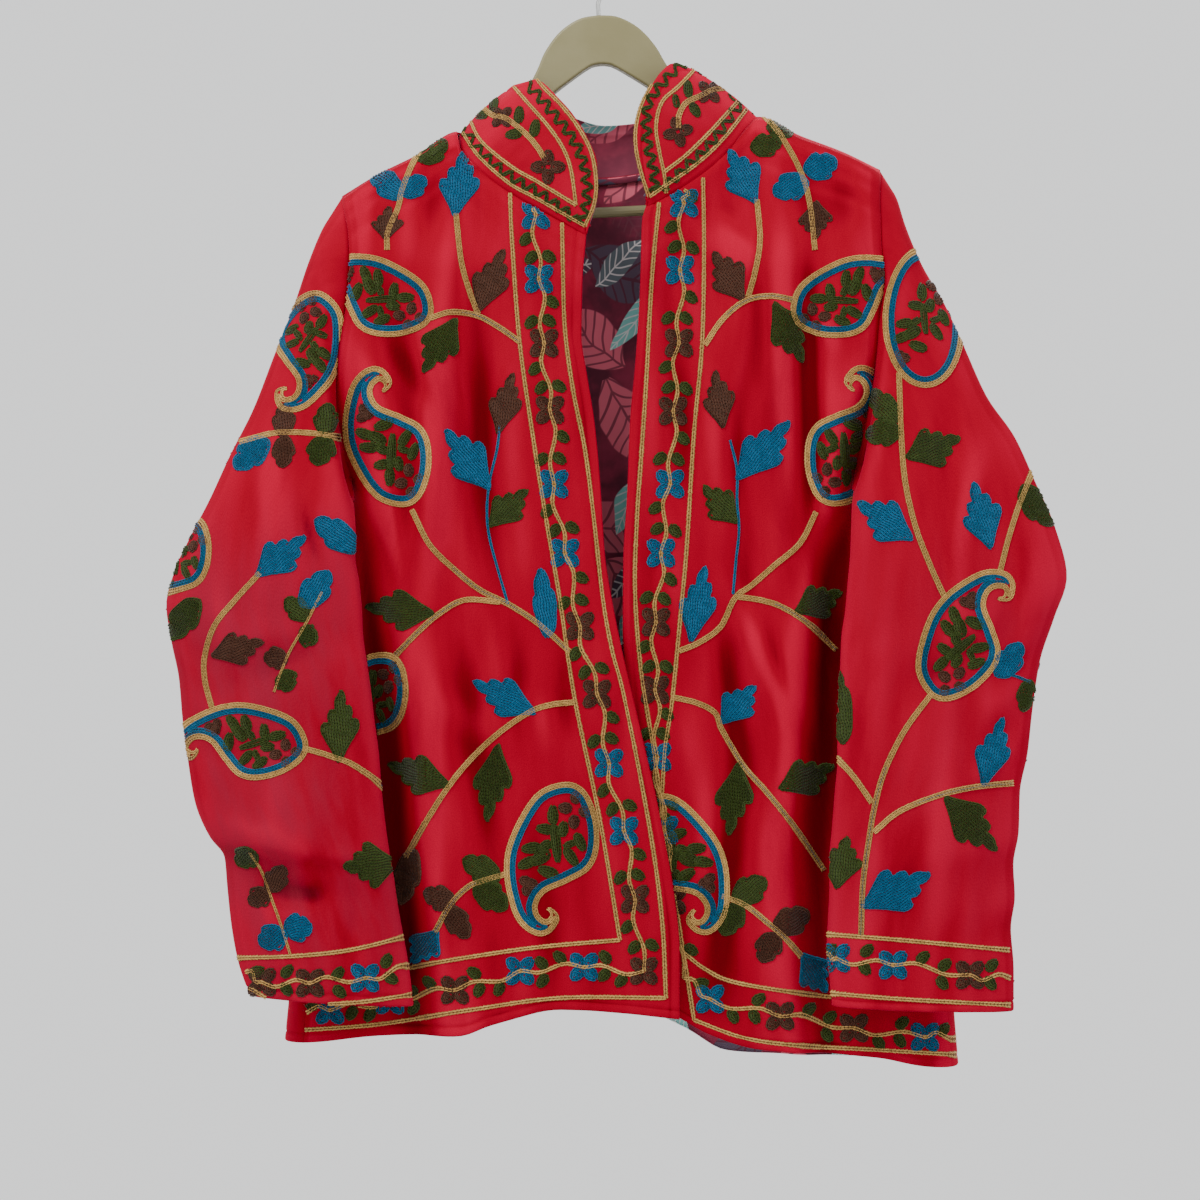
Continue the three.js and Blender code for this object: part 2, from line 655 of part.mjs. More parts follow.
function frontPanel(side) {
  const rows = rowShares(side);
  const columnsAt = (share) => frontColumns(side, share).map((column) => ({ ...column, side }));
  const grid = panelGrid(columnsAt, rows, side.frontTop, side.hem);
  const inward = gridNormals(grid, false, () => new THREE.Vector3(-side.sign * 0.3, 1, -0.3));
  const armholeRows = RING_SHARES.length;
  const shoulderEnd = ROLL_COLUMNS + SHOULDER_COLUMNS;
  grid.forEach((row, i) => {
    inward[i][0] = i < armholeRows
      ? armholeInward(side, row[0].z, true)
      : sideInward(side, grid, i, rows[i]);
    if (i < armholeRows) row[0].x -= side.sign * ARMHOLE_GAP;
  });
  grid[0].forEach((point, j) => {
    inward[0][j] = j < shoulderEnd ? DOWN.clone() : neckInward(point.x, point.y);
    if (j <= shoulderEnd) point.y = Math.min(point.y, -SEAM_GAP / 2);
  });
  return { grid, inward };
}

function backPanel() {
  const { left, right } = SIDES;
  const rows = rowShares(left);
  const rightRows = rowShares(right);
  const columnsAt = (index) => {
    const leftHalf = backColumns(left, rows[index]);
    const rightHalf = backColumns(right, rightRows[index]);
    return leftHalf.concat(rightHalf.slice(0, -1).reverse());
  };
  const topColumns = columnsAt(0);
  const hemColumns = columnsAt(rows.length - 1);
  const last = topColumns.length - 1;
  const grid = rows.map((leftShare, index) => columnsAt(index).map((column, j) => {
    const across = clamp((topColumns[j].x - left.point.x) / (right.point.x - left.point.x), 0, 1);
    const share = lerp(leftShare, rightRows[index], smoothstep(across, 0.12, 0.88));
    const topZ = along(backTop, 'x', 'z', topColumns[j].x);
    const hemZ = along(HEM_BACK, 'x', 'z', hemColumns[j].x);
    const z = lerp(topZ, hemZ, share);
    const neckY = neckDepth(topColumns[j].x);
    const y = rolledPoint(column.side, column.x, z, column.angle, topZ - z, neckY);
    return new THREE.Vector3(column.x, y, z);
  }));
  const inward = gridNormals(grid, false, (point) => (
    new THREE.Vector3(-0.3 * Math.sign(point.x), -1, -0.3)));
  const armholeRows = RING_SHARES.length;
  const shoulderEnd = ROLL_COLUMNS + SHOULDER_COLUMNS;
  grid.forEach((row, i) => {
    for (const [j, side, share] of [[0, left, rows[i]], [last, right, rightRows[i]]]) {
      if (i < armholeRows) {
        inward[i][j] = armholeInward(side, row[j].z, false);
        row[j].x -= side.sign * ARMHOLE_GAP;
      } else {
        const angle = seamAngle(side, share);
        const depth = frontDepth(side, row[j].x, row[j].z, 0, NECK_FALL);
        inward[i][j] = new THREE.Vector3(
          -side.sign * depth * Math.cos(angle), SIDE_ROLL * Math.sin(angle), 0).normalize();
      }
    }
  });
  grid[0].forEach((point, j) => {
    const onShoulder = Math.min(j, last - j) < shoulderEnd;
    inward[0][j] = onShoulder ? DOWN.clone() : neckInward(point.x, point.y);
    if (Math.min(j, last - j) <= shoulderEnd) point.y = Math.max(point.y, SEAM_GAP / 2);
  });
  return { grid, inward };
}

/** One sleeve: rings across a flattened tube, the first one on the armhole seam. */
function sleeveTube(side) {
  const shares = RING_SHARES;
  const half = shares.length - 1;
  const rings = side.sleeve.map((row, index) => {
    const ring = Object.fromEntries(SLEEVE_COLUMNS.map((name, k) => [name, row[k]]));
    const points = [];
    for (let j = 0; j < 2 * half; j += 1) {
      const front = j <= half;
      const share = front ? shares[j] : shares[2 * half - j];
      const round = Math.sqrt(Math.max(0, 1 - (2 * share - 1) ** 2));
      if (index === 0) {
        const z = lerp(side.point.z, side.underarm, share);
        const hole = armholeDepth(side, z, front ? ARMHOLE_FRONT : ARMHOLE_BACK);
        const out = hole * shoulderRoll(side.point.z - z);
        points.push(new THREE.Vector3(along(side.seam, 'z', 'x', z), front ? -out : out, z));
      } else {
        const x = lerp(ring.outX, ring.inX, share);
        const z = lerp(ring.outZ, ring.inZ, share);
        const middle = lerp(ring.outY, ring.inY, share);
        const out = round * ((front ? ring.front : ring.back)
          + (front ? 1 : 0.7) * foldRise(FOLDS_SLEEVES, x, z));
        points.push(new THREE.Vector3(x, middle + (front ? -out : out), z));
      }
    }
    return points;
  });
  const centres = rings.map((points) => points
    .reduce((sum, point) => sum.add(point), new THREE.Vector3())
    .divideScalar(points.length));
  const inward = gridNormals(rings, true, (point, i) => (
    new THREE.Vector3().subVectors(centres[i], point)));
  rings[0].forEach((point, j) => {
    inward[0][j] = armholeInward(side, point.z, j <= half);
  });
  return { grid: rings, inward };
}

/** Collar band: a row of stations from one pointed end, round the back, to the other. */
function collarBand() {
  const neckFrom = ROLL_COLUMNS + SHOULDER_COLUMNS;
  const feet = (panel, from, to) => panel.grid[0].slice(from, to);
  const backCount = back.grid[0].length;
  const stations = [
    ...feet(frontLeft, neckFrom + 1).reverse().map((foot) => ({ foot, table: COLLAR_LEFT })),
    ...feet(back, neckFrom, backCount - neckFrom).map((foot) => ({ foot, table: COLLAR_BACK })),
    ...feet(frontRight, neckFrom + 1).map((foot) => ({ foot, table: COLLAR_RIGHT })),
  ];
  const columns = stations.map(({ foot, table }) => {
    const bottom = new THREE.Vector3(foot.x, foot.y, foot.z + SEAM_GAP);
    const top = new THREE.Vector3(...['x', 'y', 'z'].map((k) => along(table, 'seamX', k, foot.x)));
    const outward = new THREE.Vector3(foot.x, foot.y * 2, 0).normalize();
    const points = [];
    for (let i = 0; i <= COLLAR_ROWS; i += 1) {
      const share = i / COLLAR_ROWS;
      const point = new THREE.Vector3().lerpVectors(top, bottom, share);
      const height = top.distanceTo(bottom);
      const bulge = COLLAR_BULGE * Math.min(1, height / 50) * Math.sin(Math.PI * share);
      points.push(point.addScaledVector(outward, bulge));
    }
    return points;
  });
  const grid = [];
  for (let i = 0; i <= COLLAR_ROWS; i += 1) grid.push(columns.map((points) => points[i]));
  const inward = gridNormals(grid, false, (point) => new THREE.Vector3(-point.x, -point.y * 2, 0));
  grid[COLLAR_ROWS].forEach((point, j) => {
    inward[COLLAR_ROWS][j] = neckInward(point.x, point.y);
  });
  return { grid, inward };
}

/** A thinner layer inside a panel: its points moved in, without the outermost rows or columns. */
function innerLayer({ grid, inward }, rowFrom, rowTo, columnFrom, columnTo) {
  const moved = (row, i) => row.slice(columnFrom, columnTo).map((point, j) => (
    point.clone().addScaledVector(inward[i][j + columnFrom], VELVET_WALL + SEAM_GAP)));
  return {
    grid: grid.map(moved).slice(rowFrom, rowTo),
    inward: inward.slice(rowFrom, rowTo).map((row) => row.slice(columnFrom, columnTo)),
  };
}

// ---- hanger ---------------------------------------------------------------------------------------

/** Half outline of the board in its own frame, from the middle of its top to that of its notch. */
const BOARD_TOP = [
  { x: 0, z: -50 },
  { x: 17, z: -53 },
  { x: 32, z: -61 },
  { x: 43, z: -73 },
  { x: 52, z: -89 },
  { x: 72, z: -110 },
  { x: 90, z: -128 },
  { x: 103, z: -137.5 },
  { x: 115, z: -138.5 },
];
const BOARD_TIP = [
  { x: 202, z: -186 },
  { x: 202, z: -199 },
  { x: 196, z: -206 },
  { x: 184, z: -206 },
  { x: 178, z: -201 },
  { x: 178, z: -189 },
];
const BOARD_UNDER = [
  { x: 163, z: -181 },
  { x: 120, z: -162 },
  { x: 80, z: -138 },
  { x: 50, z: -117 },
  { x: 34, z: -103 },
  { x: 14, z: -90 },
  { x: 0, z: -87 },
];
const BOARD_CLEARANCE = VELVET_WALL + 3 * SEAM_GAP;
const SHOULDER_STEPS = [128, 137, 146, 158, 170, 182, 193];
const BAR_HALF = 177.5;

function boardHalf(sign) {
  const shoulder = SHOULDER_STEPS.map((x) => (
    { x, z: along(SHOULDER_LINE, 'out', 'z', x) - BOARD_CLEARANCE }));
  return [...BOARD_TOP, ...shoulder, ...BOARD_TIP, ...BOARD_UNDER]
    .map(({ x, z }) => new THREE.Vector2(sign * x, z));
}

function hangerBoard() {
  const right = boardHalf(1);
  const left = boardHalf(-1).reverse().slice(1, -1);
  const inset = HANGER_ROUND;
  const shape = new THREE.Shape([...right, ...left]);
  const geometry = new THREE.ExtrudeGeometry(shape, {
    depth: HANGER_THICK - 2 * inset,
    bevelEnabled: true,
    bevelThickness: inset,
    bevelSize: inset,
    bevelOffset: -inset,
    bevelSegments: 3,
    steps: 1,
  });
  geometry.translate(0, 0, -(HANGER_THICK - 2 * inset) / 2);
  geometry.rotateX(Math.PI / 2);
  return geometry;
}

function hangerBar() {
  const geometry = new THREE.CylinderGeometry(BAR_RADIUS, BAR_RADIUS, 2 * BAR_HALF, 12);
  geometry.rotateZ(Math.PI / 2);
  geometry.translate(0, 0, -BAR_DROP);
  return geometry;
}

/** Wire hook: up from the board, out to one side and over the hanging point. */
function hangerHook() {
  const centreZ = WIRE_RADIUS - HOOK_RADIUS;
  const points = [new THREE.Vector3(0, 0, -50 + SEAM_GAP), new THREE.Vector3(0, 0, -45)];
  const from = -62;
  const to = 215;
  const steps = 14;
  for (let i = 0; i <= steps; i += 1) {
    const angle = THREE.MathUtils.degToRad(lerp(from, to, i / steps));
    points.push(new THREE.Vector3(
      HOOK_RADIUS * Math.cos(angle), 0, centreZ + HOOK_RADIUS * Math.sin(angle)));
  }
  const section = new THREE.Shape();
  section.absarc(0, 0, WIRE_RADIUS, 0, Math.PI * 2);
  return new THREE.ExtrudeGeometry(section, {
    steps: 44,
    curveSegments: 4,
    extrudePath: new THREE.CatmullRomCurve3(points),
  });
}

// ---- assembly -----------------------------------------------------------------------------------

const finish = (color, roughness, metalness = 0) => (
  new THREE.MeshStandardMaterial({ color, roughness, metalness, side: THREE.DoubleSide }));
const velvet = finish(0xc8102e, 0.85);
const lining = finish(0x7a3247, 0.8);
const board = finish(0x958c5e, 0.55);
const wire = finish(0xa9a9a4, 0.35, 0.9);

const group = new THREE.Group();
function add(name, geometry, material) {
  const mesh = new THREE.Mesh(geometry, material);
  mesh.name = name;
  group.add(mesh);
  return mesh;
}

const back = backPanel();
const frontLeft = frontPanel(SIDES.left);
const frontRight = frontPanel(SIDES.right);
const collar = collarBand();
const sleeveLeft = sleeveTube(SIDES.left);
const sleeveRight = sleeveTube(SIDES.right);
add('back', wall(back.grid, back.inward, VELVET_WALL, false), velvet);
add('front_left', wall(frontLeft.grid, frontLeft.inward, VELVET_WALL, false), velvet);
add('front_right', wall(frontRight.grid, frontRight.inward, VELVET_WALL, false), velvet);
add('sleeve_left', wall(sleeveLeft.grid, sleeveLeft.inward, VELVET_WALL, true), velvet);
add('sleeve_right', wall(sleeveRight.grid, sleeveRight.inward, VELVET_WALL, true), velvet);
add('collar', wall(collar.grid, collar.inward, VELVET_WALL, false), velvet);

const backLining = innerLayer(back, 4, back.grid.length, 4, back.grid[0].length - 4);
add('back_lining', wall(backLining.grid, backLining.inward, LINING_WALL, false), lining);
const collarLining = innerLayer(collar, 0, COLLAR_ROWS, 1, collar.grid[0].length - 1);
add('collar_lining', wall(collarLining.grid, collarLining.inward, LINING_WALL, false), lining);

const hanger = new THREE.Group();
hanger.rotation.y = -HANGER_TILT;
group.add(hanger);
for (const [name, geometry, material] of [
  ['hanger_board', hangerBoard(), board],
  ['hanger_bar', hangerBar(), board],
  ['hanger_hook', hangerHook(), wire],
]) {
  const mesh = new THREE.Mesh(geometry, material);
  mesh.name = name;
  hanger.add(mesh);
}

export default group;
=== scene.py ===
"""Velvet jacket with chain-stitch embroidery, hanging open on a hanger.

The sheets of cloth follow the same cut lines as the solid parts, in the same frame.
Lengths in the tables are millimetres; left and right are as seen from the front, which faces -Y.
"""

import math
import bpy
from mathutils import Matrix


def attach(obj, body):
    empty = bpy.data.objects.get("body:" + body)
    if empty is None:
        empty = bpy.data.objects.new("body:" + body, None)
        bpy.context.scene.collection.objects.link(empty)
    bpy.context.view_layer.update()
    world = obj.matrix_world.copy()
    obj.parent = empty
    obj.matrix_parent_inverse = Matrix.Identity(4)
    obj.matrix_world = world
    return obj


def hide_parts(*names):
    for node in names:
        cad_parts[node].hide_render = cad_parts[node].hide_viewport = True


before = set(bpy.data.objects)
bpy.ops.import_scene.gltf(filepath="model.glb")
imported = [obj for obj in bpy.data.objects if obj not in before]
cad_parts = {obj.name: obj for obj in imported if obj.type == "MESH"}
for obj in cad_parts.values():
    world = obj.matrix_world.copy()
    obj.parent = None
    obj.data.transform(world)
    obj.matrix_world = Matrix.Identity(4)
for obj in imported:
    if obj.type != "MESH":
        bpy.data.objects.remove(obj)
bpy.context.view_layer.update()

from types import SimpleNamespace

import bmesh
import bpy
import numpy as np
from bpy.props import FloatProperty, FloatVectorProperty, IntProperty, PointerProperty
from bpy.types import Operator, Panel, PropertyGroup
from mathutils import Vector
from mathutils.bvhtree import BVHTree

bl_info = {
    "name": "Embroidered velvet jacket",
    "version": (1, 0, 0),
    "blender": (4, 5, 0),
    "location": "View3D > Sidebar > Jacket",
    "description": "Builds the velvet, printed lining and chain stitches of a hanging jacket",
    "category": "Add Mesh",
}

MM = 0.001

# ---- cut lines, in millimetres ----

# Shoulder seam in the hanger's own frame: distance from its middle, and height.
SHOULDER_LINE = ((115, -127.6), (146, -143.5), (178, -157.5), (206, -172.8))
# Neck seams, from the shoulder inwards: x, y and z.
NECK_LEFT = (
    (-107, -10, -145.7), (-93, -22, -163.1), (-69.5, -35, -182), (-39.3, -44, -200),
    (-10, -49, -216.5))
NECK_RIGHT = (
    (112.5, -10, -130.6), (96, -25, -151.8), (65.7, -40, -176.7), (45.3, -46, -189.5),
    (34.7, -48, -195))
NECK_BACK = (
    (-98, 14, -144), (-75.5, 24, -153), (-38, 30, -160.8), (0, 32, -163.8), (38, 30, -159.3),
    (75.5, 24, -146.5), (102, 13, -132.9))
# Side seams and free edges: height and x.
SIDE_LEFT = (
    (-216, -190.5), (-236, -189.5), (-269.5, -192), (-306.5, -198), (-342, -200.5),
    (-374.5, -196.5), (-401, -191), (-491.5, -204), (-605, -219), (-718, -230), (-827.5, -241))
SIDE_RIGHT = (
    (-188, 212.2), (-225, 212.9), (-246, 215), (-272.6, 211.5), (-307, 209), (-342, 204),
    (-370.7, 199), (-393, 196), (-461, 211), (-552, 230), (-642.5, 249), (-733, 264), (-846, 274))
EDGE_LEFT = (
    (-216.5, -10), (-257, -13.5), (-293, -14), (-321, -10), (-361, -4), (-403, 0), (-460, 4),
    (-491.5, 9), (-534, 17.5), (-600, 33), (-651, 44.5), (-708, 55), (-753, 59.5), (-805, 59.5))
EDGE_RIGHT = (
    (-195, 34.7), (-208, 31.5), (-248, 30.5), (-312, 26.5), (-357, 22.6), (-412, 20.4),
    (-460, 17.5), (-512.6, 17), (-582, 21), (-658, 28.7), (-733, 36), (-796, 41.5))
# Hems: x and height.
HEM_LEFT = (
    (-241, -827.5), (-218, -826.5), (-166, -821.5), (-106, -819), (-82, -811), (-29, -799),
    (15, -801), (59.5, -805))
HEM_RIGHT = (
    (41.5, -796), (60, -806), (81.5, -817.7), (112, -827.5), (140, -831), (214, -839),
    (252, -845.5), (274, -846))
HEM_BACK = (
    (-241, -827.5), (-218, -826.5), (-166, -816), (-91, -807), (-19, -803), (30, -807), (63, -821),
    (97, -840), (132, -843), (252, -845.5), (274, -846))
# Rings of the sleeves: outer point, inner point, and depth before and behind.
SLEEVE_LEFT = (
    (-197, 0, -183, -191, 0, -401, 30, 22), (-211, -2, -206, -193, -11, -406, 31, 22),
    (-222, -5, -233, -190, -24, -411, 31, 22), (-233, -9, -267, -186, -35, -418, 30, 22),
    (-247, -14, -304, -184, -44, -428, 28, 22), (-263, -19, -347, -183, -49, -442, 26, 22),
    (-280, -24, -382, -183, -51, -459, 25, 21), (-295, -29, -416, -180, -52, -478, 24, 21),
    (-309, -33, -444, -178, -53, -498, 24, 20), (-320, -37, -469, -177, -54, -517, 24, 20),
    (-326, -40, -495, -174, -55, -538, 25, 20), (-322, -42, -522, -171, -55, -559, 25, 20),
    (-316, -44, -550, -168, -56, -584, 24, 19), (-313, -46, -581, -165, -56, -606, 24, 19),
    (-309, -48, -609, -163, -57, -632, 25, 19), (-303, -50, -643, -160, -57, -659, 27, 19),
    (-292, -52, -668, -157, -57, -680, 28, 19), (-281, -50, -684, -154, -57, -697, 24, 19),
    (-279, -50, -706, -151, -57, -718, 21, 19), (-276, -51, -733, -147, -57, -740, 21, 19),
    (-271, -52, -760, -143, -57, -762, 21, 19), (-262, -53, -787, -139, -57, -794, 21, 19))
SLEEVE_RIGHT = (
    (214, 0, -162, 196, 0, -393, 30, 22), (226, -2, -183, 198, -11, -399, 31, 22),
    (233, -5, -206, 195, -24, -404, 31, 22), (245, -9, -236, 191, -35, -411, 30, 22),
    (261, -14, -265, 189, -44, -422, 28, 22), (276, -19, -299, 188, -49, -438, 26, 22),
    (293, -24, -338, 187, -52, -458, 25, 21), (313, -29, -368, 185, -54, -478, 24, 21),
    (328, -33, -402, 183, -56, -499, 24, 20), (342, -37, -435, 180, -57, -520, 24, 20),
    (351, -40, -473, 179, -58, -543, 25, 20), (341, -42, -505, 178, -58, -565, 25, 20),
    (330, -45, -537, 177, -58, -588, 24, 19), (324, -48, -573, 177, -58, -611, 24, 19),
    (320, -50, -606, 175, -58, -635, 24, 19), (314, -52, -635, 173, -58, -661, 25, 19),
    (313, -53, -664, 171, -58, -685, 25, 19), (309, -53, -689, 171, -58, -707, 23, 19),
    (310, -54, -713, 170, -58, -729, 22, 19), (307, -54, -737, 169, -58, -750, 22, 19),
    (309, -55, -767, 171, -58, -771, 22, 19), (309, -55, -798, 173, -58, -794, 22, 19))
# Collar: x of a place on the neck seam, and x, y and z of the edge above it.
COLLAR_LEFT = (
    (-10, -8, -52, -211), (-23, -2, -53, -190), (-39, -2, -52, -167), (-59, -9, -48, -146),
    (-78, -20, -42, -127), (-94, -34, -33, -110), (-106, -48, -20, -96), (-112.5, -63, -4, -91))
COLLAR_BACK = (
    (-112.5, -63, -4, -91), (-102, -66, 12, -99), (-79, -53, 26, -108), (-42, -30, 34, -114),
    (0, 4, 37, -123), (42, 38, 34, -120), (79, 62, 26, -108), (106, 71, 12, -95),
    (118, 69, -4, -85))
COLLAR_RIGHT = (
    (118, 69, -4, -85), (109, 57, -20, -84), (96, 48, -32, -91), (79, 38, -41, -106),
    (64, 29, -47, -125), (51, 26, -51, -148), (42, 29, -52, -168), (34.7, 34.5, -51, -189))
# Depth of the middle of the fronts and of the back at a height.
FRONT_DEPTH = ((-120, 18), (-180, 26), (-240, 38), (-400, 42), (-620, 43), (-850, 46))
BACK_DEPTH = ((-120, 18), (-200, 28), (-300, 31), (-600, 32), (-850, 34))
# Where a sleeve lies over its front: height and x.
SLEEVE_EDGE_LEFT = (
    (-300, -226), (-400, -196), (-460, -183), (-600, -166), (-700, -154), (-850, -138))
SLEEVE_EDGE_RIGHT = ((-300, 236), (-400, 200), (-460, 187), (-600, 175), (-700, 170), (-850, 172))
# Main folds: top x and z, end x and z, width and rise.
FOLDS_FRONT = (
    (-117, -215, -122, -465, 15, 8), (-94, -225, -87, -470, 13, -6),
    (-130, -520, -128, -740, 13, 8), (-98, -520, -72, -740, 18, -5),
    (-158, -355, -146, -500, 12, -4), (88, -190, 112, -250, 14, 4), (132, -227, 142, -400, 13, 8),
    (155, -235, 161, -450, 11, -9), (142, -500, 143, -630, 14, 6), (130, -630, 126, -800, 16, 9),
    (104, -500, 98, -770, 15, -5), (66, -265, 58, -480, 18, -3))
FOLDS_BACK = (
    (-120, -230, -132, -760, 20, 6), (-70, -260, -64, -640, 18, -6), (-8, -220, 10, -820, 24, 5),
    (58, -280, 70, -800, 17, -6), (120, -230, 138, -830, 20, 7), (180, -300, 205, -830, 18, -6))
FOLDS_SLEEVES = (
    (-213, -300, -222, -455, 11, -5), (-290, -560, -200, -520, 14, -4),
    (-240, -610, -235, -690, 26, 5), (-262, -705, -205, -712, 9, -6),
    (232, -290, 215, -430, 12, -4), (300, -520, 215, -560, 14, -4), (262, -600, 250, -760, 18, 4))

# Finer creases, as soft ridges and troughs, in the same columns.
CREASES_FRONT = (
    (-150, -250, -120, -330, 8, 2.2), (-162, -292, -120, -352, 8, -1.4),
    (-186, -300, -150, -372, 8, 2), (-60, -560, -20, -620, 16, 2.5), (-150, -560, -60, -600, 14, 2),
    (-133, -320, -124, -428, 7, 2.4), (-91, -330, -82, -470, 16, -2.6),
    (-172, -430, -150, -500, 9, -3), (-160, -540, -140, -690, 9, -2.6),
    (-100, -640, -60, -790, 14, 3), (-70, -470, -58, -600, 12, -2.4),
    (-62, -200, -48, -330, 12, 2.2), (-52, -640, -30, -800, 12, -2.2),
    (-196, -560, -175, -640, 9, 2.6), (92, -188, 110, -224, 9, -2.6), (62, -180, 84, -232, 9, 2.4),
    (150, -262, 178, -300, 8, 2.4), (102, -488, 142, -585, 9, 4), (88, -500, 112, -640, 10, -4.2),
    (126, -520, 158, -612, 8, -3.4), (96, -640, 90, -780, 11, -3), (146, -590, 132, -700, 9, 3),
    (168, -440, 172, -560, 10, -3), (60, -560, 84, -690, 13, 2.6), (118, -690, 138, -830, 12, -3),
    (160, -690, 172, -840, 14, 3), (196, -620, 205, -820, 12, -2.6),
    (110, -300, 100, -420, 12, -2.4), (84, -330, 92, -450, 10, 2.2), (172, -330, 184, -420, 8, 2.6))
CREASES_BACK = (
    (-160, -260, -120, -380, 12, -2.6), (-96, -420, -104, -640, 12, 3),
    (-40, -330, -30, -560, 14, -2.8), (30, -300, 28, -520, 12, 3), (88, -420, 104, -640, 12, -3),
    (150, -280, 128, -380, 12, 2.6), (-170, -560, -178, -760, 12, 3),
    (-86, -650, -96, -800, 12, -3), (0, -600, 6, -800, 13, 3), (44, -620, 56, -820, 12, -2.6),
    (160, -560, 178, -760, 13, 3.2), (110, -700, 118, -830, 11, -2.4),
    (-60, -190, -20, -230, 12, 2.4), (60, -190, 16, -236, 12, 2.4),
    (-206, -430, -196, -560, 10, -2.6))
CREASES_SLEEVES = (
    (-206, -192, -224, -244, 7, -2.6), (-196, -214, -206, -280, 7, 2.4),
    (-226, -236, -236, -300, 8, 2.2), (-221, -424, -208, -470, 6, -3.2),
    (-256, -330, -246, -430, 10, 3), (-292, -470, -262, -560, 10, 3),
    (-322, -520, -272, -545, 9, -3.4), (-316, -560, -262, -588, 10, 3.6),
    (-312, -596, -262, -612, 8, -3.2), (-292, -652, -226, -680, 12, 5.5),
    (-298, -684, -236, -697, 7, -3.6), (-250, -715, -214, -800, 10, 3),
    (-214, -500, -190, -640, 10, -3), (-186, -560, -172, -700, 8, 2.6),
    (-272, -716, -262, -790, 8, -2.6), (-226, -740, -236, -806, 8, -2.6),
    (-180, -740, -176, -800, 8, 2.2), (228, -180, 219, -236, 7, -2.4),
    (240, -214, 226, -290, 8, 2.4), (214, -214, 214, -276, 6, 2), (292, -360, 262, -460, 10, 3),
    (258, -420, 240, -560, 11, -3), (318, -440, 296, -540, 9, -2.6),
    (334, -528, 288, -548, 7, -3.4), (330, -548, 284, -572, 8, 3), (326, -574, 280, -598, 8, -3.2),
    (320, -600, 276, -622, 8, 2.8), (312, -628, 262, -640, 8, -2.8), (300, -660, 288, -770, 10, 3),
    (210, -480, 196, -640, 10, 2.8), (232, -640, 214, -780, 10, -2.8),
    (204, -660, 190, -760, 8, 2.4), (262, -330, 250, -420, 9, -2.4))

VELVET_WALL = 2.0
LINING_WALL = 1.0
SEAM_GAP = 0.3
SIDE_ROLL = 22.0
SHOULDER_ROLL = 12.0
ROLL_COLUMNS = {1: 12, -1: 10}
DEPTH_EASE = 8.0
TUCKED_DEPTH = 23.0
ARMHOLE_FRONT = 30.0
ARMHOLE_BACK = 22.0
ARMHOLE_SQUARENESS = 0.7
SIDE_WRAP = math.radians(75)
WRAP_FROM = 0.6
HANGER_TILT = math.radians(2.8)
UNDERARM_LEFT = -401.0
UNDERARM_RIGHT = -393.0
TUCK_WIDTH = 32.0
NECK_LIP = 2.0
NECK_FALL = 170.0
OVERLAP_FROM = -470.0
OVERLAP_FULL = -560.0
OVERLAP_WIDTH = 90.0
OVERLAP_RISE = 8.0
OVERLAP_DROP = 7.0
COLLAR_BULGE = 4.0
COLLAR_LAP = 2.4
COLLAR_OUT = 1.1
COLLAR_ROWS = 24
NECK_LINING_TUCK = 5.0
SLEEVE_LENGTH = 640.0
# Patches of painted shade, highlight when below nought: x, z, half width, half height and darkness.
PAINTED_LIGHT_PATCHES = (
    (204, -186, 44, 34, 0.5), (162, -461, 26, 70, 0.35), (-107, -728, 74, 46, 0.4),
    (143, -620, 36, 60, 0.35), (75, -763, 52, 56, 0.4), (-90, -118, 34, 26, 0.45),
    (-161, -255, 34, 26, 0.3), (-30, -560, 26, 90, 0.2), (-200, -600, 24, 90, 0.25),
    (-257, -725, 46, 60, -0.3), (192, -741, 40, 56, -0.25), (-115, -442, 40, 70, -0.25),
    (92, -243, 40, 46, -0.25), (-240, -420, 40, 80, -0.2), (250, -620, 44, 60, -0.2))
BOARD_THICK = 14.0
BOARD_EDGE = 2.2
HOOK_WIRE = 1.7
HOOK_RADIUS = 19.0
HOOK_FOOT = -3.2
HOOK_STEM = (
    (-3.2, -47.0), (-3.3, -41.0), (-3.1, -35.0), (-0.4, -30.0), (5.5, -26.8), (12.5, -25.0),
    (17.0, -22.6))
# Half of the board's outline in its own frame, from the middle of its top to that of its notch.
BOARD_HALF = (
    (0, -45), (13, -46.5), (24.5, -52), (34, -60), (43, -72), (49, -84), (58, -98), (73, -113),
    (90, -128), (103, -137.5), (115, -138.5), (128, -140), (146, -149.5), (170, -160), (193, -172),
    (201, -184), (202, -199), (196, -206), (184, -206), (178, -199), (177, -189), (163, -181),
    (120, -162), (80, -138), (50, -114), (35, -101.5), (12, -86), (5, -83), (0, -82.5))

# Places across a border, in from its free edge: the rolled edge, then the stitched groove.
BORDER_STEPS = (0.0, 0.4, 1.1, 2.2, 4.2, 6.0, 7.2, 8.4, 10.5, 14.0)
BORDER = BORDER_STEPS[-1]
EDGE_ROLL = 2.0
GROOVE_IN = 7.2
GROOVE_WIDTH = 1.0
GROOVE_DEPTH = 0.7


# ---- small helpers ----

def smooth(value, low, high):
    """Soft step from 0 at low to 1 at high, for numbers and arrays."""
    share = np.clip((value - low) / (high - low), 0.0, 1.0)
    return share * share * (3 - 2 * share)


def lerp(a, b, share):
    return a + (b - a) * share


def run_lengths(points, axis=0):
    """Distance along a line, or along a grid's rows or columns, at each of its points."""
    steps = np.linalg.norm(np.diff(points, axis=axis), axis=-1)
    return np.insert(steps.cumsum(axis=axis), 0, 0.0, axis=axis)


def closed_up(grid):
    """A tube's grid with its first column again at the end."""
    return np.concatenate([grid, grid[:, :1]], axis=1)


def unbroken(places):
    """The runs of more than two places in a list that holds None wherever it is broken."""
    runs = [[]]
    for place in places:
        if place is None:
            runs.append([])
        else:
            runs[-1].append(place)
    return [run for run in runs if len(run) > 2]


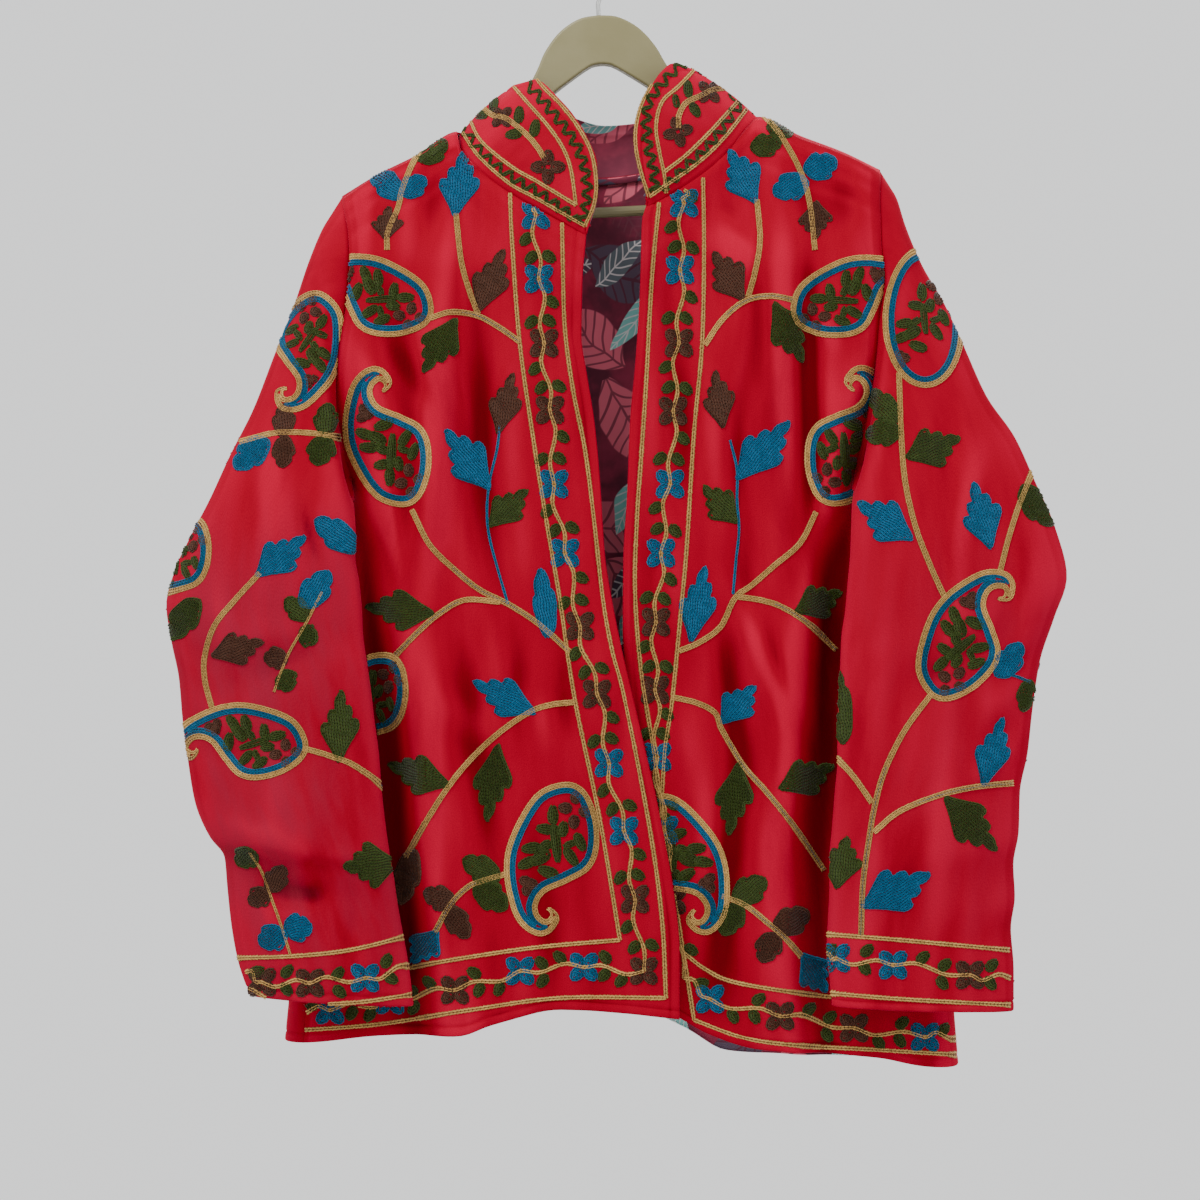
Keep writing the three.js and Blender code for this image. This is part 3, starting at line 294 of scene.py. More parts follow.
class Curve:
    """Smooth curve through the points of a table, with no overshoot."""

    def __init__(self, keys, values):
        keys, values = np.array(keys, float), np.array(values, float)
        order = np.argsort(keys)
        self.keys, self.values = keys[order], values[order]
        secants = np.diff(self.values) / np.diff(self.keys)
        slopes = np.empty_like(self.keys)
        slopes[0], slopes[-1] = secants[0], secants[-1]
        before, after = secants[:-1], secants[1:]
        same = before * after > 0
        total = np.where(same, before + after, 1.0)
        slopes[1:-1] = np.where(same, 2 * before * after / total, 0.0)
        self.slopes = slopes

    def __call__(self, at):
        spot = np.clip(at, self.keys[0], self.keys[-1])
        low = np.clip(np.searchsorted(self.keys, spot) - 1, 0, len(self.keys) - 2)
        span = self.keys[low + 1] - self.keys[low]
        t = (spot - self.keys[low]) / span
        t2, t3 = t * t, t * t * t
        return ((2 * t3 - 3 * t2 + 1) * self.values[low]
                + (t3 - 2 * t2 + t) * span * self.slopes[low]
                + (3 * t2 - 2 * t3) * self.values[low + 1]
                + (t3 - t2) * span * self.slopes[low + 1])


def table_curve(table, key, value):
    return Curve([row[key] for row in table], [row[value] for row in table])


def fold_rise(folds, x, z):
    """Height of the listed folds at places on the front view of a panel."""
    rise = np.zeros(np.broadcast(x, z).shape)
    for top_x, top_z, end_x, end_z, width, height in folds:
        run_x, run_z = end_x - top_x, end_z - top_z
        length = math.hypot(run_x, run_z)
        share = ((x - top_x) * run_x + (z - top_z) * run_z) / length ** 2
        off = ((x - top_x) * run_z - (z - top_z) * run_x) / length
        taper = smooth(share, -0.25, 0.4) * (1 - smooth(share, 0.6, 1.25))
        rise = rise + height * taper * np.exp(-((off / width) ** 2))
    return rise


def waves(x, z, seed):
    """Small uneven waves of hanging cloth, a millimetre or so deep."""
    rng = np.random.default_rng(seed)
    rise = np.zeros(np.broadcast(x, z).shape)
    for _ in range(16):
        across = rng.uniform(26, 95)
        along = rng.uniform(150, 520) * rng.choice((-1, 1))
        turn = x / across + z / along + rng.random()
        rise = rise + rng.uniform(0.15, 0.5) * np.sin(2 * math.pi * turn)
    return rise


def soft_maximum(a, b):
    return (a + b + np.sqrt((a - b) ** 2 + DEPTH_EASE ** 2)) / 2


def tilted(x, z):
    """A point of the hanger's frame, turned about the hanging point."""
    cos, sin = math.cos(HANGER_TILT), math.sin(HANGER_TILT)
    return (x * cos - z * sin, x * sin + z * cos)


# ---- the jacket's surface ----

def make_side(sign, neck, seam, edge, hem, underarm, sleeve, sleeve_edge, wraps):
    """Everything that one half of the jacket is cut by."""
    shoulder = [tilted(sign * out, z) for out, z in SHOULDER_LINE]
    neck_end = shoulder[0]
    point = shoulder[-1]
    neck = [(neck_end[0], 0.0, neck_end[1]), *neck]
    seam = [(point[1], point[0]), *seam]
    top = [*reversed(shoulder), *[(x, z) for x, _, z in neck[1:]]]
    last_hem = hem[-1] if sign < 0 else hem[0]
    return SimpleNamespace(
        sign=sign, point=point, neck_end=neck_end, shoulder=shoulder, wraps=wraps,
        underarm=underarm, bottom=seam[-1][0], sleeve=np.array(sleeve, float),
        neck_y=table_curve(neck, 0, 1), seam=table_curve(seam, 0, 1),
        edge=table_curve(edge, 0, 1), hem=table_curve(hem, 0, 1), top=table_curve(top, 0, 1),
        top_edge=neck[-1], hem_edge=last_hem, sleeve_edge=table_curve(sleeve_edge, 0, 1))


LEFT = make_side(-1, NECK_LEFT, SIDE_LEFT, EDGE_LEFT, HEM_LEFT, UNDERARM_LEFT, SLEEVE_LEFT,
                 SLEEVE_EDGE_LEFT, True)
RIGHT = make_side(1, NECK_RIGHT, SIDE_RIGHT, EDGE_RIGHT, HEM_RIGHT, UNDERARM_RIGHT, SLEEVE_RIGHT,
                  SLEEVE_EDGE_RIGHT, False)
FRONT_MIDDLE = table_curve(FRONT_DEPTH, 0, 1)
BACK_MIDDLE = table_curve(BACK_DEPTH, 0, 1)
BACK_NECK = [(LEFT.neck_end[0], 0.0, LEFT.neck_end[1]), *NECK_BACK,
             (RIGHT.neck_end[0], 0.0, RIGHT.neck_end[1])]
BACK_NECK_Y = table_curve(BACK_NECK, 0, 1)
BACK_TOP = table_curve([*reversed(LEFT.shoulder), *[(x, z) for x, _, z in NECK_BACK],
                        *RIGHT.shoulder], 0, 1)
BACK_HEM = table_curve(HEM_BACK, 0, 1)


def armhole_depth(side, z, deep):
    """Half depth of the armhole at a height."""
    share = np.clip((side.point[1] - z) / (side.point[1] - side.underarm), 0.0, 1.0)
    return deep * np.sqrt(1 - (2 * share - 1) ** 2) ** ARMHOLE_SQUARENESS


def shoulder_roll(drop):
    """0 on the top edge, 1 once the panel hangs."""
    return np.sqrt(np.clip(1 - (1 - np.minimum(drop, SHOULDER_ROLL) / SHOULDER_ROLL) ** 2, 0, 1))


def neck_floor(neck_y, drop):
    """Least depth below the neck seam."""
    return (neck_y + NECK_LIP) * (1 - smooth(drop, 20, NECK_FALL))


def front_depth(side, x, z, neck_y, drop, folds):
    """How far a front stands forward of the shoulder line."""
    inside = side.sign * (side.sleeve_edge(z) - x)
    middle = FRONT_MIDDLE(z)
    depth = np.minimum(lerp(TUCKED_DEPTH, middle, smooth(inside, 0, TUCK_WIDTH)), middle)
    from_edge = side.sign * (x - side.edge(z))
    overlap = smooth(-z, -OVERLAP_FROM, -OVERLAP_FULL) * (1 - smooth(from_edge, 0, OVERLAP_WIDTH))
    depth = depth + overlap * (OVERLAP_RISE if side.sign < 0 else -OVERLAP_DROP)
    depth = depth + fold_rise(folds, x, z) + waves(x, z, 11)
    return soft_maximum(depth, neck_floor(neck_y, drop))


def back_depth(x, z, neck_y, drop, folds):
    depth = BACK_MIDDLE(z) + fold_rise(folds, x, z) + waves(x, z, 12)
    return soft_maximum(depth, neck_floor(neck_y, drop))


def seam_angle(side, share):
    return SIDE_WRAP * smooth(share, WRAP_FROM, 1) if side.wraps else 0.0 * share


def edge_relief(distance):
    """How far the cloth sinks near a free edge: its rolled rim and its row of machine stitches."""
    inside = np.clip(1 - distance / EDGE_ROLL, 0, 1)
    rim = (VELVET_WALL / 2) * (1 - np.sqrt(1 - np.minimum(inside, 1) ** 2))
    groove = GROOVE_DEPTH * np.exp(-(((distance - GROOVE_IN) / GROOVE_WIDTH) ** 2))
    return rim + groove


def even_then_border(width, even):
    """Shares from 0 to 1 across a width, even at first and then at the border's own steps."""
    first = np.linspace(0, 1, even + 1)[1:-1] * (1 - BORDER / width)
    last = 1 - np.array(BORDER_STEPS[::-1]) / width
    return np.concatenate([first, last], axis=-1)


def panel_rows(height, even):
    return np.concatenate([[0.0], even_then_border(height, even)])


def grid_normals(points, closed, outward):
    """Unit normals of a grid, on the side that outward is on."""
    down = np.gradient(points, axis=0)
    if closed:
        across = (np.roll(points, -1, axis=1) - np.roll(points, 1, axis=1)) / 2
    else:
        across = np.gradient(points, axis=1)
    normals = np.cross(down, across)
    normals /= np.maximum(np.linalg.norm(normals, axis=2, keepdims=True), 1e-9)
    facing = np.sum(normals * outward, axis=2, keepdims=True)
    return np.where(facing < 0, -normals, normals)


def side_to_middle(side, share, hand, far_x, across_of):
    """Places across each row, round the side's roll to a far edge, and how far it has turned.

    hand is 1 on a front and -1 on the back.
    """
    side_x = side.seam(lerp(side.point[1], side.bottom, share))
    start = seam_angle(side, share) + hand * SEAM_GAP / 2 / SIDE_ROLL
    columns = ROLL_COLUMNS[hand]
    angle = lerp(start, hand * math.pi / 2, np.linspace(0, 1, columns + 1)[None, :])
    inner = side_x - side.sign * SIDE_ROLL
    rest = lerp(inner, far_x, across_of(np.abs(far_x - inner)))
    x = np.concatenate([side_x - side.sign * SIDE_ROLL * (1 - np.cos(angle)), rest], axis=1)
    return x, np.concatenate([angle, np.full(rest.shape, hand * math.pi / 2)], axis=1)


def front_points(side, even_rows, even_columns):
    """Grid of a front's outer face, shoulder to hem and side seam to free edge."""
    height = side.point[1] - side.bottom
    share = panel_rows(height, even_rows)[:, None]
    edge_x = side.edge(lerp(side.top_edge[2], side.hem_edge[1], share))
    x, angle = side_to_middle(side, share, 1, edge_x,
                              lambda width: even_then_border(width, even_columns))
    top_z, hem_z = side.top(x[0]), side.hem(x[-1])
    z = lerp(top_z, hem_z, share)
    drop = top_z - z
    beyond = side.sign * x[0] >= side.sign * side.neck_end[0]
    neck_y = np.where(beyond, 0.0, -side.neck_y(x[0]))
    hole = armhole_depth(side, z, ARMHOLE_FRONT)
    depth = front_depth(side, x, z, neck_y, drop, FOLDS_FRONT + CREASES_FRONT)
    near = np.maximum(hole + (depth - hole) * np.sin(np.abs(angle)), 0)
    roll = shoulder_roll(drop)
    y = -(roll * near + (1 - roll) * neck_y)
    y[0] = np.minimum(y[0], -SEAM_GAP / 2)
    points = np.stack([x, y, z], axis=2)
    normals = grid_normals(points, False, np.array([side.sign * 0.3, -1, 0.3]))
    to_edge = side.sign * (x - edge_x)
    relief = edge_relief(np.abs(to_edge)) + edge_relief((1 - share) * height + 0 * x)
    return points - normals * relief[..., None], normals


def back_points(even_rows, half_columns):
    """Grid of the back's outer face, left side seam to right."""
    height = LEFT.point[1] - LEFT.bottom
    share = panel_rows(height, even_rows)[:, None]
    across = np.linspace(0, 1, half_columns + 1)[None, 1:]
    halves = [side_to_middle(side, share, -1, 0.0, lambda width: across)
              for side in (LEFT, RIGHT)]
    x, angle = (np.concatenate([left, right[:, -2::-1]], axis=1) for left, right in zip(*halves))
    top_z, hem_z = BACK_TOP(x[0]), BACK_HEM(x[-1])
    z = lerp(top_z, hem_z, share)
    drop = top_z - z
    beyond = (x[0] <= LEFT.neck_end[0]) | (x[0] >= RIGHT.neck_end[0])
    neck_y = np.where(beyond, 0.0, BACK_NECK_Y(x[0]))
    hole = np.where(x < 0, armhole_depth(LEFT, z, ARMHOLE_BACK),
                    armhole_depth(RIGHT, z, ARMHOLE_BACK))
    depth = back_depth(x, z, neck_y, drop, FOLDS_BACK + CREASES_BACK)
    front = np.where(x < 0, front_depth(LEFT, x, z, 0.0, NECK_FALL, FOLDS_FRONT),
                     front_depth(RIGHT, x, z, 0.0, NECK_FALL, FOLDS_FRONT))
    depth = np.where(angle >= 0, front, depth)
    near = np.maximum(hole + (depth - hole) * np.sin(np.abs(angle)), 0)
    roll = shoulder_roll(drop)
    y = (roll * near + (1 - roll) * neck_y) * np.where(angle >= 0, -1, 1)
    y[0] = np.maximum(y[0], SEAM_GAP / 2)
    points = np.stack([x, y, z], axis=2)
    outward = np.stack([x * 0.3, y + 0.1, z * 0], axis=2)
    normals = grid_normals(points, False, outward)
    relief = edge_relief((1 - share) * height + 0 * x)
    return points - normals * relief[..., None], normals


def sleeve_points(side, even_rows, around):
    """Closed rings of a sleeve's outer face, armhole to cuff."""
    table = side.sleeve
    last = len(table) - 1
    place = np.arange(last + 1)
    out_x, out_y, out_z, in_x, in_y, in_z, fore, aft = (Curve(place, c) for c in table.T)
    ring = panel_rows(SLEEVE_LENGTH, even_rows)[:, None] * last
    turn = np.linspace(0, 2 * math.pi, around, endpoint=False)[None, :]
    share = (1 - np.cos(turn)) / 2
    front = np.sin(turn) >= 0
    at = np.maximum(ring, 1)
    x = lerp(out_x(at), in_x(at), share)
    z = lerp(out_z(at), in_z(at), share)
    middle = lerp(out_y(at), in_y(at), share)
    folds = fold_rise(FOLDS_SLEEVES + CREASES_SLEEVES, x, z) + waves(x, z, 13)
    folds = folds * np.sin(turn) ** 2
    deep = np.where(front, fore(at) + folds, aft(at) + 0.7 * folds)
    y = middle - np.sin(turn) * deep
    hole_z = lerp(side.point[1], side.underarm, share)
    hole = np.where(front, armhole_depth(side, hole_z, ARMHOLE_FRONT),
                    armhole_depth(side, hole_z, ARMHOLE_BACK))
    hole = hole * shoulder_roll(side.point[1] - hole_z)
    first = np.minimum(ring, 1)
    tuck = 0.6 + 4.4 * smooth(share, 0.7, 0.97)
    hole = hole * (1 - 0.03 * tuck)
    x = lerp(side.seam(hole_z) - side.sign * tuck + 0 * ring, x, first)
    y = lerp(np.where(front, -hole, hole) + 0 * ring, y, first)
    z = lerp(hole_z - tuck * smooth(share, 0.7, 0.97) + 0 * ring, z, first)
    points = np.stack([x, y, z], axis=2)
    normals = grid_normals(points, True, points - points.mean(axis=1, keepdims=True))
    relief = edge_relief((1 - ring / last) * SLEEVE_LENGTH + 0 * x)
    return points - normals * relief[..., None], normals


def collar_points(left_top, back_top, right_top, rows):
    """Grid of the collar's outer face, from its left pointed end round the back to its right."""
    stations = []
    for feet, table in ((left_top, COLLAR_LEFT), (back_top, COLLAR_BACK),
                        (right_top, COLLAR_RIGHT)):
        curves = [table_curve(table, 0, column) for column in (1, 2, 3)]
        for foot in feet:
            stations.append((foot + np.array([0, 0, SEAM_GAP]),
                             np.array([float(curve(foot[0])) for curve in curves])))
    bottom = np.array([foot for foot, _ in stations])
    top = np.array([high for _, high in stations])
    height = np.linalg.norm(top - bottom, axis=1)
    steps = np.array(BORDER_STEPS)
    even = np.arange(rows + 1) / rows
    shares = np.empty((rows + 1, len(stations)))
    count = len(steps)
    for k in range(rows + 1):
        if k < count:
            shares[k] = np.minimum(steps[k] / height, even[k])
        else:
            shares[k] = lerp(shares[count - 1], 1.0, (k - count + 1) / (rows - count + 1))
    outward = bottom * np.array([1, 2, 0])
    outward /= np.linalg.norm(outward, axis=1, keepdims=True)
    bottom = bottom + outward * COLLAR_OUT - np.array([0, 0, COLLAR_LAP])
    bulge = COLLAR_BULGE * np.minimum(1, height / 50) * np.sin(math.pi * shares)
    points = lerp(top[None], bottom[None], shares[..., None])
    points = points + bulge[..., None] * outward[None]
    normals = grid_normals(points, False, outward[None])
    relief = edge_relief(shares * height[None])
    return points - normals * relief[..., None], normals


# ---- meshes from grids ----

def unrolled(points):
    """Width and length coordinates of a grid, in metres along its own rows and columns."""
    across, down = run_lengths(points, 1), run_lengths(points, 0)
    return np.stack([across - across.mean(axis=1, keepdims=True), -down], axis=2) * MM


def cloth_mesh(name, points, normals, closed=False, rubbed=None):
    """A sheet of cloth: an even grid whose points are laid on the surface, with its own UV map."""
    paler_at = np.zeros(points.shape[:2]) if rubbed is None else rubbed(points)
    if closed:
        points, normals, paler_at = (closed_up(grid) for grid in (points, normals, paler_at))
    rows, columns = points.shape[:2]
    sheet = bmesh.new()
    bmesh.ops.create_grid(sheet, x_segments=columns - 1, y_segments=rows - 1, size=0.5)
    sheet.verts.index_update()
    sheet.faces.ensure_lookup_table()
    flat = unrolled(points)
    layer = sheet.loops.layers.uv.new("cloth")
    # Per point: painted shade above 0, in troughs and dark patches, and painted highlight below 0,
    # on ridges and pale patches.
    painted_light = sheet.verts.layers.float.new("painted_light")
    # Per point: how much paler the pile is.
    paler = sheet.verts.layers.float.new("paler")
    # The folds' painted shade and highlight, plus the listed patches of painted light.
    painted_light_values = hollow_of(points, normals) + painted_light_patches_at(points)
    places = [(round((0.5 - vert.co.y) * (rows - 1)), round((vert.co.x + 0.5) * (columns - 1)))
              for vert in sheet.verts]
    for face in sheet.faces:
        for loop in face.loops:
            loop[layer].uv = flat[places[loop.vert.index]]
    for vert, place in zip(sheet.verts, places):
        vert[painted_light] = float(painted_light_values[place])
        vert[paler] = float(paler_at[place])
        vert.co = points[place] * MM
    face = sheet.faces[len(sheet.faces) // 2]
    face.normal_update()
    if face.normal.dot(Vector(normals[places[face.verts[0].index]])) < 0:
        bmesh.ops.reverse_faces(sheet, faces=sheet.faces[:])
    if closed:
        bmesh.ops.remove_doubles(sheet, verts=sheet.verts[:], dist=1e-6)
    return new_piece(name, sheet)


def painted_light_patches_at(points):
    """Soft patches of painted shade, above 0, and of painted highlight, below it."""
    tone = np.zeros(points.shape[:2])
    for x, z, wide, high, amount in PAINTED_LIGHT_PATCHES:
        away = ((points[..., 0] - x) / wide) ** 2 + ((points[..., 2] - z) / high) ** 2
        tone = tone + amount * np.exp(-away)
    return tone


def hollow_of(points, normals):
    """Below 0 on ridges and above 0 in troughs: how far each place lies under its neighbours. The
    velvet paints shade in the troughs and highlight on the ridges from it.
    """
    total = np.zeros(points.shape[:2])
    for reach in (2, 4, 7):
        for axis in (0, 1):
            ahead = np.roll(points, -reach, axis)
            behind = np.roll(points, reach, axis)
            step = np.linalg.norm(ahead - behind, axis=2) / 2 + 1e-6
            bend = np.sum(((ahead + behind) / 2 - points) * normals, axis=2)
            bend = np.moveaxis(bend / np.maximum(step, 1.0), axis, 0)
            bend[:reach] = bend[-reach:] = 0
            total = total + np.clip(np.moveaxis(bend, 0, axis), -0.5, 0.5)
    return total


def wall(piece, thickness, materials):
    """Gives a sheet its thickness on the inside: the first material outside and on the rim."""
    for material in materials:
        piece.data.materials.append(material)
    solid = piece.modifiers.new("wall", "SOLIDIFY")
    solid.thickness = thickness * MM
    solid.offset = -1
    solid.use_even_offset = False
    solid.use_quality_normals = True
    solid.material_offset = len(materials) - 1
    solid.material_offset_rim = 0
    return piece


# ---- hanger ----

def new_piece(name, bm, materials=()):
    """Object from a finished bmesh, with smooth faces."""
    mesh = bpy.data.meshes.new(name)
    bm.to_mesh(mesh)
    bm.free()
    mesh.shade_smooth()
    for material in materials:
        mesh.materials.append(material)
    piece = bpy.data.objects.new(name, mesh)
    bpy.context.collection.objects.link(piece)
    return piece


def hanger_piece(name, rings, material):
    """A closed piece from rings of places in the hanger's own frame."""
    bm = bmesh.new()
    rows = []
    for ring in rings:
        places = [(*tilted(x, z), y) for x, y, z in ring]
        rows.append([bm.verts.new((x * MM, y * MM, z * MM)) for x, z, y in places])
    for one, two in zip(rows, rows[1:]):
        for k in range(len(one)):
            bm.faces.new((one[k - 1], one[k], two[k], two[k - 1]))
    bm.faces.new(rows[0][::-1])
    bm.faces.new(rows[-1])
    bmesh.ops.recalc_face_normals(bm, faces=bm.faces)
    return new_piece(name, bm, (material,))


def board_piece(name, material):
    """Flat board with small round edges, from its half outline."""
    half = smooth_line(BOARD_HALF, step=3.0)
    lean = np.stack([HOOK_FOOT * (1 - smooth(half[:, 0], 40, 100)), np.zeros(len(half))], 1)
    outline = np.concatenate([half + lean, (half * (-1, 1) + lean)[::-1][1:-1]])
    piece = hanger_piece(name, [[(x, y, z) for x, z in outline]
                                for y in (-BOARD_THICK / 2, BOARD_THICK / 2)], material)
    bevel = piece.modifiers.new("Round edges", "BEVEL")
    bevel.width, bevel.segments, bevel.limit_method = BOARD_EDGE * MM, 3, "ANGLE"
    bevel.angle_limit = math.radians(60)
    bevel.harden_normals = True
    return piece


def hook_piece(name, material):
    """Round wire along the hook's centre line."""
    turns = np.radians(np.linspace(-8, 215, 22))
    line = [*HOOK_STEM, *((HOOK_RADIUS * math.cos(a),
                           HOOK_WIRE - HOOK_RADIUS + HOOK_RADIUS * math.sin(a)) for a in turns)]
    line = smooth_line(line, step=1.5)
    round_wire = [(HOOK_WIRE * math.cos(a), HOOK_WIRE * math.sin(a))
                  for a in np.linspace(0, 2 * math.pi, 14)[:-1]]
    return hanger_piece(name, [[(x + dx * out, y, z + dz * out) for out, y in round_wire]
                               for (x, z), (dx, dz) in zip(line, side_of(line))], material)


# ---- finishes ----

class Graph:
    """Adds and links the nodes of one material or group."""

    def __init__(self, tree):
        self.tree = tree

    def feed(self, node, inputs):
        """Links or sets the inputs of a node."""
        for key, value in inputs.items():
            if isinstance(value, bpy.types.NodeSocket):
                self.tree.links.new(value, node.inputs[key])
            else:
                node.inputs[key].default_value = value

    def add(self, kind, inputs=None, **settings):
        node = self.tree.nodes.new(kind)
        for name, value in settings.items():
            setattr(node, name, value)
        self.feed(node, inputs or {})
        return node

    def math(self, operation, *values, clamp=False):
        return self.add("ShaderNodeMath", dict(enumerate(values)), operation=operation,
                        use_clamp=clamp).outputs[0]

    def mix(self, share, a, b, blend="MIX"):
        return self.add("ShaderNodeMix", {0: share, 6: a, 7: b}, data_type="RGBA",
                        blend_type=blend).outputs[2]

    def spread(self, value, low, high, to_low=0.0, to_high=1.0):
        return self.add("ShaderNodeMapRange", {0: value, 1: low, 2: high, 3: to_low, 4: to_high},
                        interpolation_type="SMOOTHSTEP").outputs[0]

    def noise(self, vector, scale, detail=3.0, roughness=0.55, output=0):
        return self.add("ShaderNodeTexNoise", {
            "Vector": vector, "Scale": scale, "Detail": detail,
            "Roughness": roughness}).outputs[output]

    def stretched(self, vector, scale, location=(0, 0, 0)):
        return self.add("ShaderNodeMapping", {"Vector": vector, "Location": location,
                                              "Scale": scale}).outputs[0]

    def bump(self, height, strength, distance):
        return self.add("ShaderNodeBump", {"Height": height, "Strength": strength,
                                           "Distance": distance}).outputs[0]

    def attribute(self, name):
        return self.add("ShaderNodeAttribute", attribute_name=name).outputs["Fac"]

    def flat_place(self):
        return self.add("ShaderNodeUVMap", uv_map="cloth").outputs[0]

    def place(self):
        return self.add("ShaderNodeTexCoord").outputs["Object"]


def rgba(colour):
    return (*colour, 1.0)


def new_group(name, inputs, outputs):
    """An empty shader node group with named sockets."""
    tree = bpy.data.node_groups.new(name, "ShaderNodeTree")
    for label, kind, *default in inputs:
        socket = tree.interface.new_socket(label, in_out="INPUT",
                                           socket_type=f"NodeSocket{kind}")
        if default:
            socket.default_value = default[0]
    for label, kind in outputs:
        tree.interface.new_socket(label, in_out="OUTPUT", socket_type=f"NodeSocket{kind}")
    graph = Graph(tree)
    return graph, graph.add("NodeGroupInput").outputs, graph.add("NodeGroupOutput")


def pile_group():
    """Velvet pile: streaks where it was brushed, painted highlight on ridges, painted shade in
    troughs, and a fine grain.
    """
    graph, given, out = new_group("Velvet pile", [
        ("Place", "Vector"), ("Hollow", "Float", 0.0), ("Base", "Color"), ("Bright", "Color"),
        ("Deep", "Color"), ("Worn", "Float", 0.0), ("Faded", "Color"),
    ], [("Color", "Color"), ("Height", "Float")])
    brushed = graph.noise(graph.stretched(given["Place"], (1.0, 0.3, 1.0)), 30.0, 5.0, 0.6)
    patches = graph.noise(graph.stretched(given["Place"], (1.0, 0.5, 1.0)), 10.0, 2.0, 0.5)
    grain = graph.noise(given["Place"], 1400.0, 2.0, 0.6)
    swept = graph.math("MULTIPLY_ADD", brushed, 0.55, graph.math("MULTIPLY", patches, 0.45))
    # Painted shade in troughs and painted highlight on ridges, mixed with the pile's own brushed
    # streaks.
    trough_shade = graph.spread(given["Hollow"], 0.02, 1.0)
    ridge_highlight = graph.spread(given["Hollow"], -0.02, -0.9)
    lit = graph.math("MULTIPLY", graph.spread(swept, 0.45, 0.72), 0.35)
    lit = graph.math("MULTIPLY_ADD", ridge_highlight, 0.75, lit, clamp=True)
    colour = graph.mix(lit, given["Base"], given["Bright"])
    shade = graph.math("MULTIPLY", graph.spread(swept, 0.5, 0.28), 0.3)
    shade = graph.math("MULTIPLY_ADD", trough_shade, 0.85, shade, clamp=True)
    colour = graph.mix(shade, colour, given["Deep"])
    # Turns the pile towards the pale colour by each point's share, more in the brushed streaks.
    rubbed = graph.math("MULTIPLY", given["Worn"], graph.spread(swept, 0.35, 0.62))
    colour = graph.mix(rubbed, colour, given["Faded"])
    speckle = graph.spread(grain, 0.3, 0.7, 0.86, 1.12)
    grey = graph.add("ShaderNodeCombineColor", {0: speckle, 1: speckle, 2: speckle})
    height = graph.math("MULTIPLY_ADD", grain, 0.25, graph.math("MULTIPLY", brushed, 0.6))
    graph.feed(out, {"Color": graph.mix(1.0, colour, grey.outputs[0], "MULTIPLY"),
                     "Height": height})
    return graph.tree


def new_material(name, **sockets):
    """A material with one Principled shader, whose constant sockets are set here."""
    material = bpy.data.materials.new(name)
    material.use_nodes = True
    shader = material.node_tree.nodes["Principled BSDF"]
    for key, value in sockets.items():
        shader.inputs[key.replace("_", " ")].default_value = value
    return material, Graph(material.node_tree), shader


def velvet_material(settings):
    material, graph, shader = new_material(
        "Red velvet", Roughness=0.85, Sheen_Weight=0.6, Sheen_Roughness=0.3,
        Sheen_Tint=rgba((1.0, 0.05, 0.12)), Specular_IOR_Level=0.03)
    # The pile group paints shade into the folds' troughs and highlight onto their ridges.
    pile = graph.add("ShaderNodeGroup", {
        "Place": graph.flat_place(), "Hollow": graph.attribute("painted_light"),
        "Worn": graph.attribute("paler"), "Base": rgba(settings.velvet),
        "Bright": rgba(settings.velvet_highlight_and_brushed_light), "Deep": rgba(settings.velvet_shade_and_brushed_dark),
        "Faded": rgba(settings.velvet_pale)}, node_tree=pile_group()).outputs
    graph.feed(shader, {"Base Color": pile["Color"],
                        "Normal": graph.bump(pile["Height"], 0.35, 0.0006)})
    return material


def leaf_group():
    """One scatter of leaves: each cell holds a leaf at its own angle, with a rib and side veins."""
    known = bpy.data.node_groups.get("Scattered leaves")
    if known:
        return known
    graph, given, out = new_group("Scattered leaves", [
        ("Place", "Vector"), ("Scale", "Float", 8.0), ("Slimness", "Float", 0.36),
        ("Veins", "Float", 20.0),
    ], [("Leaf", "Float"), ("Vein", "Float"), ("Tone", "Float")])
    cells = graph.add("ShaderNodeTexVoronoi", {"Vector": given["Place"], "Scale": given["Scale"],
                                               "Randomness": 0.7}, voronoi_dimensions="2D")
    offset = graph.add("ShaderNodeVectorMath", {0: given["Place"], 1: cells.outputs["Position"]},
                       operation="SUBTRACT").outputs[0]
    offset = graph.add("ShaderNodeVectorMath", {0: offset, "Scale": given["Scale"]},
                       operation="SCALE").outputs[0]
    chance = graph.add("ShaderNodeSeparateColor", {0: cells.outputs["Color"]}).outputs
    angle = graph.math("MULTIPLY", chance[0], 6.283)
    turned = graph.add("ShaderNodeVectorRotate", {"Vector": offset, "Angle": angle},
                       rotation_type="Z_AXIS").outputs[0]
    spot = graph.add("ShaderNodeSeparateXYZ", {0: turned}).outputs
    along = graph.math("MULTIPLY", spot[0], 1.75)
    half = graph.math("SUBTRACT", 1.0, graph.math("MULTIPLY", along, along))
    half = graph.math("MULTIPLY", graph.math("MAXIMUM", half, 0.0), given["Slimness"])
    off = graph.math("ABSOLUTE", spot[1])
    run = graph.math("MULTIPLY_ADD", off, 0.9, spot[0])
    stripes = graph.math("SINE", graph.math("MULTIPLY", run, graph.math(
        "MULTIPLY", given["Veins"], 3.0)))
    rib = graph.spread(off, 0.018, 0.008)
    graph.feed(out, {"Leaf": graph.spread(graph.math("SUBTRACT", half, off), 0.0, 0.02),
                     "Vein": graph.math("MAXIMUM", graph.spread(stripes, 0.66, 0.9), rib),
                     "Tone": chance[1]})
    return graph.tree


